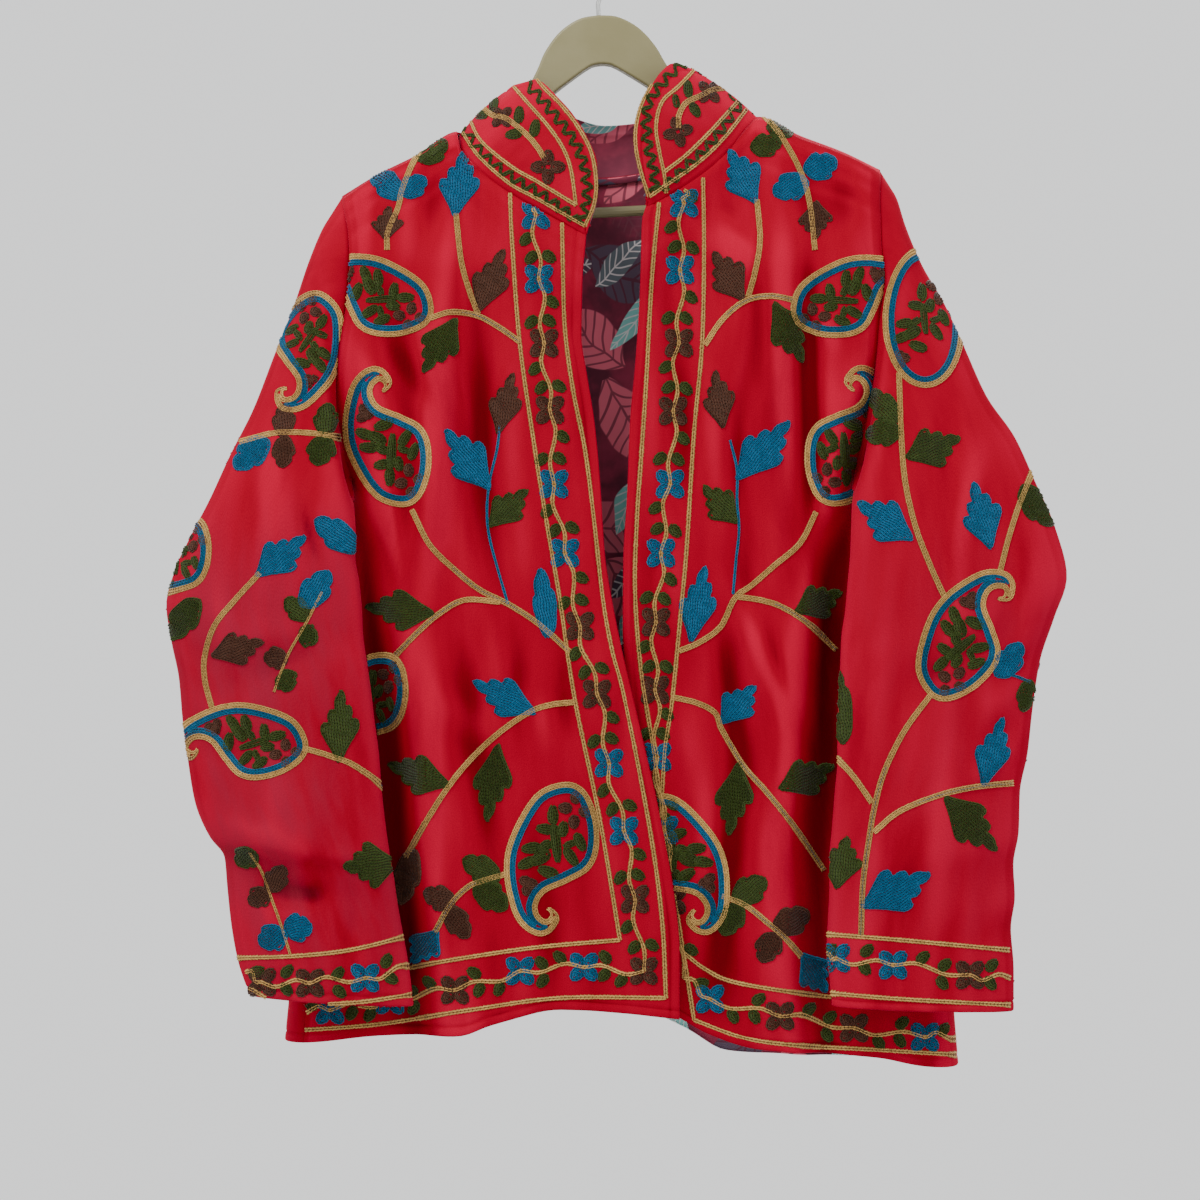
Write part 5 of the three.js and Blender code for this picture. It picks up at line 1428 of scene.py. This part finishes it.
# Down the middle of the back and along its hem.
BACK_LINES = (
    ((588, 172), (588, 400), (588, 640), (590, 750), (613, 790)),
    ((638, 172), (638, 400), (638, 640), (636, 750), (613, 790)),
    ((290, 988), (430, 972), (540, 952), (630, 950), (690, 968), (745, 992), (840, 1003),
     (960, 1009)),
    ((290, 1031), (430, 1016), (540, 998), (630, 998), (690, 1018), (745, 1044), (840, 1052),
     (960, 1056)))
BACK_STEMS = (
    ((527, 341), (556, 355), (588, 390)), ((698, 344), (668, 358), (638, 392)),
    ((668, 652), (654, 655), (638, 668)), ((664, 697), (650, 697), (638, 694)))
BACK_VINES = (
    ((613, 176, ""), *((612 + 2 * (k % 2), 215 + 68 * k, ("blue", "blue", "brown", "brown")[k % 4])
                       for k in range(8)), (613, 752, "")),
    ((614, 974, "brown"), (549, 976, "blue"), (484, 987, "brown"), (419, 996, "brown"),
     (354, 1003, "blue"), (292, 1010, "")),
    ((614, 974, ""), (679, 990, "blue"), (744, 1018, "brown"), (809, 1026, "brown"),
     (874, 1029, "blue"), (958, 1032, "")),
)
BACK_SHIFT = {"front_left": 10.0, "front_right": -10.0}


def draw_borders(pattern, sheet):
    for line in BORDER_LINES[sheet]:
        pattern.row("gold", sheet, smooth_line(line))
    for flowers in BAND_FLOWERS[sheet]:
        pattern.vine(sheet, flowers)


def draw_field(pattern, source, sheet):
    """Draws the stems, leaves and drops of one table entry on a sheet."""
    for line in STEMS.get(source, ()):
        pattern.cord(sheet, line)
    for thread, *line in TENDRILS.get(source, ()):
        pattern.row(thread, sheet, smooth_line(line), 2.2)
    for thread, leaves in LEAVES[source].items():
        for base_x, base_y, tip_x, tip_y, width in leaves:
            pattern.leaf(thread, sheet, (base_x, base_y), (tip_x, tip_y), width)
    for x, y, scale, lean, mirrored in DROPS.get(source, ()):
        pattern.paisley(sheet, (x, y), scale, lean, mirrored)
    for x, y, wide, high, lean in WREATHS.get(source, ()):
        pattern.wreath(sheet, (x, y), wide, high, lean)


def draw_collar(pattern, lines, zigzags):
    for line in lines:
        pattern.row("gold", "collar", smooth_line(line), 3.0)
    for line in zigzags:
        pattern.zigzag("collar", line)


def draw_seen(pattern, sheets):
    for sheet in sheets:
        draw_borders(pattern, sheet)
        draw_field(pattern, sheet, sheet)


def draw_all(pattern):
    """Draws the whole jacket: what is seen from the front, then from behind."""
    draw_seen(pattern, ("front_left", "front_right", "sleeve_left", "sleeve_right"))
    draw_collar(pattern, COLLAR_LINES, COLLAR_ZIGZAGS)
    for x, y, size, lean in COLLAR_FLOWERS:
        pattern.flower("brown", "collar", (x, y), size, lean)
    for line in COLLAR_STEMS:
        pattern.cord("collar", line)
    for x, y, long, wide, lean in COLLAR_LEAVES:
        pattern.oval("green", "collar", (x, y), long, wide, lean)
    pattern.behind = True
    draw_collar(pattern, *([((-280, high), (280, high)) for high in heights]
                           for heights in (COLLAR_BACK_LINES, COLLAR_BACK_ZIGZAGS)))
    pattern.vine("collar", COLLAR_BACK_FLOWERS)
    draw_seen(pattern, ("sleeve_left", "sleeve_right"))
    for line in BACK_LINES:
        pattern.row("gold", "back", smooth_line(line))
    for line in BACK_STEMS:
        pattern.cord("back", line)
    for flowers in BACK_VINES:
        pattern.vine("back", flowers)
    for source, shift in BACK_SHIFT.items():
        pattern.shift = shift
        draw_field(pattern, source, "back")


# ---- stitches on the cloth ----

def resampled(line, step):
    """Even points along a flat line."""
    along = run_lengths(line)
    spots = np.linspace(0, along[-1], max(2, int(along[-1] / step) + 1))
    return interpolated(spots, along, line)


def interpolated(spots, along, values):
    """Rows of a table read at places along it."""
    return np.stack([np.interp(spots, along, column) for column in values.T], axis=-1)


class Cloth:
    """All the outer faces together, for finding where a row of stitches lies."""

    def __init__(self):
        self.names = list(SURFACES)
        corners, faces, owners, normals = [], [], [], []
        start = 0
        for owner, name in enumerate(self.names):
            points, outward = SURFACES[name]
            if name.startswith("sleeve"):
                points, outward = closed_up(points), closed_up(outward)
            rows, columns = points.shape[:2]
            index = np.arange(rows * columns).reshape(rows, columns) + start
            quads = np.stack([index[:-1, :-1], index[1:, :-1], index[1:, 1:], index[:-1, 1:]], 2)
            corners.append(points.reshape(-1, 3))
            normals.append(outward.reshape(-1, 3))
            faces.append(quads.reshape(-1, 4))
            owners.append(np.full(len(faces[-1]), owner))
            start += rows * columns
        self.normals = np.concatenate(normals)
        self.faces = np.concatenate(faces)
        self.owners = np.concatenate(owners)
        self.tree = BVHTree.FromPolygons(np.concatenate(corners).tolist(), self.faces.tolist())

    def wrapped(self, line):
        """Runs of a line given by distance round the collar's seam and height up the collar."""
        points, outward = (grid[::-1] for grid in SURFACES["collar"])
        seam = run_lengths(points[0])
        seam -= seam[np.argmax(points[0, :, 1])]
        height = run_lengths(points)
        places, normals = [], []
        for across, up in resampled(line, TRACE_STEP / GRID_UNIT) * GRID_UNIT:
            column = np.interp(across, seam, np.arange(len(seam)))
            left = min(int(column), len(seam) - 2)
            strip, facing, tall = (lerp(grid[:, left], grid[:, left + 1], column - left)
                                   for grid in (points, outward, height))
            up = up if up > 0 else tall[-1] + up
            places.append(interpolated(up, tall, strip))
            normals.append(interpolated(up, tall, facing))
        places, normals = np.array(places), np.array(normals)
        kept = np.flatnonzero(normals[:, 1] > -0.02)
        if len(kept) > 2:
            yield places[kept], normals[kept]

    def traced(self, sheet, line, from_back):
        """Runs of a flat line laid on a sheet: places and normals, where nothing covers it."""
        if sheet == "collar" and from_back:
            yield from self.wrapped(line)
            return
        sign = 1 if from_back else -1
        eye = Vector((0, sign * VIEW_AWAY, VIEW_HEIGHT))
        wanted = self.names.index(sheet)
        found = []
        for x, y in resampled(line, TRACE_STEP / GRID_UNIT):
            aim = ((x - GRID_MIDDLE) * GRID_UNIT, sign * VIEW_PLANE, (GRID_TOP - y) * GRID_UNIT)
            place, _, face, _ = self.tree.ray_cast(eye, Vector(aim) - eye)
            if face is None or self.owners[face] != wanted:
                found.append(None)
                continue
            if found and found[-1] and (place - found[-1][0]).length > LARGEST_JUMP:
                found.append(None)
            found.append((place, face))
        for run in unbroken(found):
            places = np.array([place for place, _ in run])
            normals = self.normals[self.faces[[face for _, face in run]]].mean(axis=1)
            yield places, normals


def links_along(places, normals, width, pitch, widened):
    """Middle, run, normal and size of each chain link on a row laid on the cloth."""
    along = run_lengths(places)
    total = along[-1]
    if total < pitch:
        return None
    count = max(1, int(round(total / pitch)))
    spots = (np.arange(count) + 0.5) * total / count
    middle = interpolated(spots, along, places)
    normal = unit(interpolated(spots, along, normals))
    tail, nose = (interpolated(np.clip(spots + step, 0, total), along, places)
                  for step in (-pitch / 2, pitch / 2))
    run = nose - tail
    run = unit(run - normal * np.sum(run * normal, axis=1, keepdims=True))
    size = np.tile([total / count, width, ROW_HEIGHT * (0.8 + 0.2 * width / LINE_WIDTH)],
                   (count, 1))
    if widened:
        # A pattern laid on cloth that turns away is drawn apart, so its rows are wider there.
        size[:, 1] *= np.clip(0.95 / np.maximum(np.abs(normal[:, 1]), 0.1), 1, STEEP_WIDTH)
    return np.concatenate([middle + normal * ROW_LIFT, run, normal, size], axis=1)


def quaternions(run, normal):
    """Turns that point X along the run and Z along the normal."""
    side = np.cross(normal, run)
    w = np.sqrt(np.maximum(0, 1 + run[:, 0] + side[:, 1] + normal[:, 2])) / 2
    x = np.sqrt(np.maximum(0, 1 + run[:, 0] - side[:, 1] - normal[:, 2])) / 2
    y = np.sqrt(np.maximum(0, 1 - run[:, 0] + side[:, 1] - normal[:, 2])) / 2
    z = np.sqrt(np.maximum(0, 1 - run[:, 0] - side[:, 1] + normal[:, 2])) / 2
    x = np.copysign(x, side[:, 2] - normal[:, 1])
    y = np.copysign(y, normal[:, 0] - run[:, 2])
    z = np.copysign(z, run[:, 1] - side[:, 0])
    return np.stack([w, x, y, z], axis=1)


def unit(vectors):
    return vectors / np.maximum(np.linalg.norm(vectors, axis=1, keepdims=True), 1e-9)


def chain_link():
    """One link: two strands that spread from its tail, a unit long, wide and high; its low points
    are marked for painted shade.
    """
    link = bmesh.new()
    # Each point's low value sets how much painted shade the thread gets there: 1 at the lower
    # points, least at the top.
    low = link.verts.layers.float.new("low")
    tail, nose = [], []
    for strand, places in ((tail, ((-0.5, 0.0, 0.25, 1.0), (-0.6, 0.20, 0.8, 0.35),
                                   (-0.5, 0.43, -0.2, 1.0))),
                           (nose, ((0.50, 0.03, 0.05, 1.0), (0.62, 0.33, 0.55, 0.0),
                                   (0.45, 0.57, -0.2, 1.0)))):
        for x, y, z, depth in places:
            vert = link.verts.new((x, y, z))
            vert[low] = depth
            strand.append(vert)
    link.faces.new((tail[0], nose[0], nose[1], tail[1]))
    link.faces.new((tail[1], nose[1], nose[2], tail[2]))
    link.faces.new((nose[0], nose[2], nose[1]))
    other = bmesh.ops.duplicate(link, geom=link.verts[:] + link.faces[:])["geom"]
    twins = [item for item in other if isinstance(item, bmesh.types.BMVert)]
    bmesh.ops.scale(link, vec=(1, -1, 1), verts=twins)
    bmesh.ops.reverse_faces(link, faces=[f for f in other if isinstance(f, bmesh.types.BMFace)])
    for face in link.faces:
        face.smooth = len(face.verts) == 4
    mesh = bpy.data.meshes.new("chain_link")
    link.to_mesh(mesh)
    link.free()
    return bpy.data.objects.new("chain_link", mesh)


def stitch_nodes(link):
    """Geometry nodes that set a link on every point, turned and sized by the point."""
    tree = bpy.data.node_groups.new("Chain stitches", "GeometryNodeTree")
    tree.interface.new_socket("Geometry", in_out="INPUT", socket_type="NodeSocketGeometry")
    tree.interface.new_socket("Geometry", in_out="OUTPUT", socket_type="NodeSocketGeometry")
    graph = Graph(tree)
    given, out = graph.add("NodeGroupInput"), graph.add("NodeGroupOutput")
    turn = graph.add("GeometryNodeInputNamedAttribute", {"Name": "turn"}, data_type="QUATERNION")
    size = graph.add("GeometryNodeInputNamedAttribute", {"Name": "size"},
                     data_type="FLOAT_VECTOR")
    shape = graph.add("GeometryNodeObjectInfo", {"Object": link})
    placed = graph.add("GeometryNodeInstanceOnPoints", {
        "Points": given.outputs[0], "Instance": shape.outputs["Geometry"],
        "Rotation": turn.outputs["Attribute"], "Scale": size.outputs["Attribute"]})
    real = graph.add("GeometryNodeRealizeInstances", {0: placed.outputs[0]})
    tree.links.new(real.outputs[0], out.inputs[0])
    return tree


def stitched_piece(name, links, nodes, material, rng):
    """Joins the links of one thread into one mesh."""
    mesh = bpy.data.meshes.new(name + "_points")
    mesh.vertices.add(len(links))
    mesh.vertices.foreach_set("co", (links[:, 0:3] * MM).ravel())
    jitter = 1 + rng.normal(0, 0.05, (len(links), 3))
    for label, kind, key, values in (
            ("turn", "QUATERNION", "value", quaternions(links[:, 3:6], links[:, 6:9])),
            ("size", "FLOAT_VECTOR", "vector", links[:, 9:12] * jitter * MM),
            ("tone", "FLOAT", "value", rng.random(len(links)))):
        layer = mesh.attributes.new(label, kind, "POINT")
        layer.data.foreach_set(key, values.ravel())
    piece = bpy.data.objects.new(name, mesh)
    bpy.context.collection.objects.link(piece)
    piece.modifiers.new("stitches", "NODES").node_group = nodes
    graph = bpy.context.evaluated_depsgraph_get()
    piece.data = bpy.data.meshes.new_from_object(piece.evaluated_get(graph))
    piece.modifiers.clear()
    piece.data.name = name
    piece.data.materials.clear()
    piece.data.materials.append(material)
    for spare in ("turn", "size"):
        if spare in piece.data.attributes:
            piece.data.attributes.remove(piece.data.attributes[spare])
    return finish_piece(piece, None)


THREADS = ("gold", "blue", "green", "brown")
REGIONS = {
    "front_left": (("front_left", False),),
    "front_right": (("front_right", False),),
    "sleeves": (("sleeve_left", False), ("sleeve_right", False)),
    "collar": (("collar", False), ("collar", True)),
    "back": (("back", True),),
    "sleeve_backs": (("sleeve_left", True), ("sleeve_right", True)),
}


class JACKET_OT_embroidery(Operator):
    """Lays the chain stitches on the velvet, one mesh for each thread and region."""
    bl_idname = "jacket.embroidery"
    bl_label = "Chain stitches"

    def execute(self, context):
        thread = settings()[1]
        cloth = Cloth()
        pattern = Pattern()
        draw_all(pattern)
        laid = {}
        pitch = thread.pitch / MM
        scale = thread.width / MM / LINE_WIDTH
        for colour, sheet, line, width, behind in pattern.rows:
            for places, normals in cloth.traced(sheet, line, behind):
                links = links_along(places, normals, width * scale, pitch * 0.6 + width * 0.4,
                                    sheet != "collar")
                if links is not None:
                    laid.setdefault((colour, sheet, behind), []).append(links)
        rng = np.random.default_rng(7)
        nodes = stitch_nodes(chain_link())
        for colour in THREADS:
            tint = np.array(getattr(thread, colour))
            material = thread_material(f"Thread {colour}", tuple(tint), tuple(tint * 0.3),
                                       tuple(np.minimum(tint * 1.5 + 0.01, 1)))
            for region, sheets in REGIONS.items():
                parts = [links for sheet in sheets for links in laid.get((colour, *sheet), ())]
                if parts:
                    stitched_piece(f"stitches_{colour}_{region}", np.concatenate(parts), nodes,
                                   material, rng)
        return {"FINISHED"}


# ---- settings ----

def colour_property(name, description, default):
    return FloatVectorProperty(name=name, description=description, subtype="COLOR", size=3,
                               min=0.0, max=1.0, default=default)


def length_property(name, description, default, least=-100.0):
    return FloatProperty(name=name, description=description, default=default, min=least,
                         unit="LENGTH")


def count_property(name, description, default, least):
    return IntProperty(name=name, description=description, default=default, min=least)


class JacketClothSettings(PropertyGroup):
    """How finely the sheets of cloth are divided, and the colours of the velvet."""
    rows: count_property("Rows", "Even rows down the fronts and the back", 120, 20)
    columns: count_property("Columns", "Even columns across one front", 46, 10)
    sleeve_rows: count_property("Sleeve rows", "Even rings along a sleeve", 110, 20)
    sleeve_around: count_property("Sleeve around", "Points round a sleeve's ring", 88, 16)
    velvet: colour_property("Velvet", "Middle colour of the pile", (0.31, 0.0, 0.014))
    # The ridge and trough colours are painted highlight and painted shade, also used for the
    # brushed streaks.
    velvet_highlight_and_brushed_light: colour_property("Velvet ridge", "Pile on a lit ridge", (0.48, 0.003, 0.032))
    velvet_shade_and_brushed_dark: colour_property("Velvet trough", "Pile deep in a fold", (0.085, 0.0, 0.003))
    velvet_pale: colour_property("Velvet pale", "Paler pile of a sleeve", (0.25, 0.012, 0.032))


class JacketThreadSettings(PropertyGroup):
    """Size and colours of the chain stitches."""
    pitch: length_property("Stitch pitch", "Length of one chain link along its row", 0.0027, 0.001)
    width: length_property("Stitch width", "Width of the single rows of chain stitches", 0.0033,
                           0.0005)
    gold: colour_property("Gold", "Outline and stem thread", (0.70, 0.40, 0.12))
    blue: colour_property("Blue", "Flower and leaf thread", (0.0, 0.125, 0.26))
    green: colour_property("Green", "Leaf thread", (0.037, 0.061, 0.003))
    brown: colour_property("Brown", "Flower and leaf thread", (0.085, 0.028, 0.012))


class JacketStageSettings(PropertyGroup):
    """The camera and what stands round the jacket."""
    distance: length_property("Camera distance", "From the camera to the jacket's front", 2.3, 0.5)
    centre: length_property("Camera height", "Height that it looks at, from the hanging point",
                            -0.4915)
    view_width: length_property("View width", "Width seen at the jacket's front", 0.906, 0.1)
    floor_drop: length_property("Floor", "Height of the floor, from the hanging point", -1.6)


def settings():
    scene = bpy.context.scene
    return scene.jacket_cloth, scene.jacket_thread, scene.jacket_stage


# ---- operators ----

class JACKET_OT_stage(Operator):
    """Makes the camera, the soft lights and the pale floor."""
    bl_idname = "jacket.stage"
    bl_label = "Stage"

    def execute(self, context):
        stage = settings()[2]
        scene = context.scene
        camera = bpy.data.objects.new("camera", bpy.data.cameras.new("camera"))
        camera.data.sensor_width = FILM_WIDTH
        camera.data.lens = FILM_WIDTH * stage.distance / stage.view_width
        camera.location = (0, FRONT_FACE - stage.distance, stage.centre)
        camera.rotation_euler = (math.pi / 2, 0, 0)
        scene.collection.objects.link(camera)
        scene.camera = camera
        for name, place, aim, size, power, colour in STAGE_LIGHTS:
            light = bpy.data.lights.new(name, "AREA")
            light.shape = "DISK"
            light.size, light.energy, light.color = size, power, colour
            lamp = bpy.data.objects.new(name, light)
            lamp.location = place
            turn = Vector(aim) - Vector(place)
            lamp.rotation_euler = turn.to_track_quat("-Z", "Y").to_euler()
            scene.collection.objects.link(lamp)
        floor = bmesh.new()
        bmesh.ops.create_circle(floor, cap_ends=True, segments=96, radius=FLOOR_RADIUS)
        bmesh.ops.translate(floor, verts=floor.verts[:], vec=(0, 0, stage.floor_drop))
        new_piece("floor", floor, (plain_material("Pale floor", (0.50, 0.49, 0.47)),))
        world = scene.world or bpy.data.worlds.new("world")
        scene.world = world
        world.use_nodes = True
        background = world.node_tree.nodes["Background"]
        background.inputs["Color"].default_value = (0.96, 0.965, 0.97, 1.0)
        background.inputs["Strength"].default_value = 1.25
        return {"FINISHED"}


FILM_WIDTH = 36.0
FRONT_FACE = -0.03
FLOOR_RADIUS = 2.9
# Lights: name, place, what it points at, size, power and colour.
STAGE_LIGHTS = (
    ("key", (-1.2, -1.75, 1.85), (0, 0, -0.4), 1.0, 62.0, (1.0, 0.98, 0.95)),
    ("fill", (1.9, -1.8, 0.1), (0, 0, -0.5), 1.4, 9.0, (0.95, 0.98, 1.0)),
    ("back", (0.6, 2.0, 1.0), (0, 0, -0.4), 1.2, 16.0, (1.0, 1.0, 1.0)))

def cloth_materials():
    """The velvet and the lining, made once."""
    known = bpy.data.materials.get
    velvet = known("Red velvet") or velvet_material(settings()[0])
    lining = known("Printed lining") or lining_material(
        "Printed lining", ((0.36, 0.03, 0.08), (0.13, 0.014, 0.038)), (0.85, 0.16, 0.24),
        (0.12, 0.075, 0.12), (0.26, 0.66, 0.62), (0.92, 0.86, 0.86), 14.5)
    return velvet, lining


def rubbed_sleeve(points):
    """How much paler the pile of a sleeve is: palest on the left one, from above the elbow down."""
    z = points[:, :, 2]
    most = np.where(points[:, :, 0] < 0, 0.85, 0.25)
    return most * smooth(-z, 380, 520) * (1 - 0.6 * smooth(-z, 700, 800))


def finish_piece(piece, node):
    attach(piece, "root")
    if node:
        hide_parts(node)
    return piece


def velvet_sheet(node, points, normals, materials, **shape):
    """Makes one velvet sheet in place of a solid, and remembers its grid for the stitches."""
    SURFACES[node] = (points, normals)
    piece = wall(cloth_mesh(f"jacket_{node}", points, normals, **shape), VELVET_WALL, materials)
    return finish_piece(piece, node)


def lining_sheet(name, node, points, normals, material):
    piece = wall(cloth_mesh(name, points, normals), LINING_WALL, (material,))
    return finish_piece(piece, node)


SURFACES = {}


class JACKET_OT_back(Operator):
    """Makes the velvet back."""
    bl_idname = "jacket.back"
    bl_label = "Back"

    def execute(self, context):
        cloth = settings()[0]
        piece = velvet_sheet("back", *back_points(cloth.rows, cloth.columns), cloth_materials())
        return {"FINISHED"}


class JACKET_OT_fronts(Operator):
    """Makes the two velvet fronts, open down the middle."""
    bl_idname = "jacket.fronts"
    bl_label = "Fronts"

    def execute(self, context):
        cloth = settings()[0]
        for side, node in ((LEFT, "front_left"), (RIGHT, "front_right")):
            piece = velvet_sheet(node, *front_points(side, cloth.rows, cloth.columns),
                                 cloth_materials())
        return {"FINISHED"}


class JACKET_OT_sleeves(Operator):
    """Makes the two sleeves, closed tubes that hang from their armholes."""
    bl_idname = "jacket.sleeves"
    bl_label = "Sleeves"

    def execute(self, context):
        cloth = settings()[0]
        for side, node in ((LEFT, "sleeve_left"), (RIGHT, "sleeve_right")):
            points, normals = sleeve_points(side, cloth.sleeve_rows, cloth.sleeve_around)
            piece = velvet_sheet(node, points, normals, cloth_materials()[:1], closed=True,
                                 rubbed=rubbed_sleeve)
        return {"FINISHED"}


class JACKET_OT_collar(Operator):
    """Makes the stand collar and the lining inside it."""
    bl_idname = "jacket.collar"
    bl_label = "Collar"

    def execute(self, context):
        left, back, right = (SURFACES[name][0][0] for name in ("front_left", "back",
                                                               "front_right"))
        left = left[left[:, 0] >= LEFT.neck_end[0] + 0.5][::-1]
        right = right[right[:, 0] <= RIGHT.neck_end[0] - 0.5]
        back = back[(back[:, 0] >= LEFT.neck_end[0]) & (back[:, 0] <= RIGHT.neck_end[0])]
        points, normals = collar_points(left, back, right, COLLAR_ROWS)
        piece = velvet_sheet("collar", points, normals, cloth_materials()[:1])
        inner = points - normals * (VELVET_WALL + SEAM_GAP)
        below = inner[-1:] - inner[-2:-1]
        below *= NECK_LINING_TUCK / np.linalg.norm(below, axis=2, keepdims=True)
        inner = np.concatenate([inner[1:], inner[-1:] + below])
        normals = np.concatenate([normals[1:], normals[-1:]])
        pink = lining_material("Printed neck lining", ((0.34, 0.035, 0.08), (0.17, 0.016, 0.045)),
                               (0.56, 0.09, 0.15), (0.07, 0.05, 0.09), (0.16, 0.40, 0.40),
                               (0.70, 0.60, 0.60), 17.0)
        lined = lining_sheet("neck_lining", "collar_lining", inner, normals, pink)
        return {"FINISHED"}


class JACKET_OT_lining(Operator):
    """Makes the back's printed lining, which shows between the fronts and under their hem."""
    bl_idname = "jacket.lining"
    bl_label = "Back lining"

    def execute(self, context):
        points, normals = (grid[1:, 8:-8] for grid in SURFACES["back"])
        piece = lining_sheet("back_lining_print", "back_lining",
                             points - normals * (VELVET_WALL + SEAM_GAP), normals,
                             cloth_materials()[1])
        return {"FINISHED"}


class JACKET_OT_hanger(Operator):
    """Builds the board and hook with soft edges, and paints the bar."""
    bl_idname = "jacket.hanger"
    bl_label = "Hanger"

    def execute(self, context):
        paint = paint_material("Hanger paint", (0.215, 0.19, 0.085), (0.27, 0.245, 0.13))
        wire = wire_material("Drawn wire")
        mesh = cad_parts["hanger_bar"].data
        mesh.materials.clear()
        mesh.materials.append(paint)
        finish_piece(board_piece("board_rounded", paint), "hanger_board")
        finish_piece(hook_piece("hook_wire", wire), "hanger_hook")
        return {"FINISHED"}


class JACKET_PT_panel(Panel):
    """Lists the jacket's settings and the steps that build it."""
    bl_idname = "JACKET_PT_panel"
    bl_label = "Embroidered jacket"
    bl_space_type = "VIEW_3D"
    bl_region_type = "UI"
    bl_category = "Jacket"

    def draw(self, context):
        for group in settings():
            for name in group.bl_rna.properties.keys():
                if name not in {"rna_type", "name"}:
                    self.layout.prop(group, name)
        for step in STEPS:
            self.layout.operator(step.bl_idname)


STEPS = (JACKET_OT_stage, JACKET_OT_back, JACKET_OT_fronts, JACKET_OT_sleeves,
         JACKET_OT_collar, JACKET_OT_lining, JACKET_OT_embroidery, JACKET_OT_hanger)
CLASSES = (JacketClothSettings, JacketThreadSettings, JacketStageSettings, *STEPS,
           JACKET_PT_panel)


def register():
    for item in CLASSES:
        bpy.utils.register_class(item)
    bpy.types.Scene.jacket_cloth = PointerProperty(type=JacketClothSettings)
    bpy.types.Scene.jacket_thread = PointerProperty(type=JacketThreadSettings)
    bpy.types.Scene.jacket_stage = PointerProperty(type=JacketStageSettings)


def unregister():
    for name in ("jacket_cloth", "jacket_thread", "jacket_stage"):
        delattr(bpy.types.Scene, name)
    for item in reversed(CLASSES):
        bpy.utils.unregister_class(item)


def main():
    """Builds the jacket in order."""
    register()
    for step in STEPS:
        family, name = step.bl_idname.split(".")
        getattr(getattr(bpy.ops, family), name)()


if __name__ == "__main__":
    main()
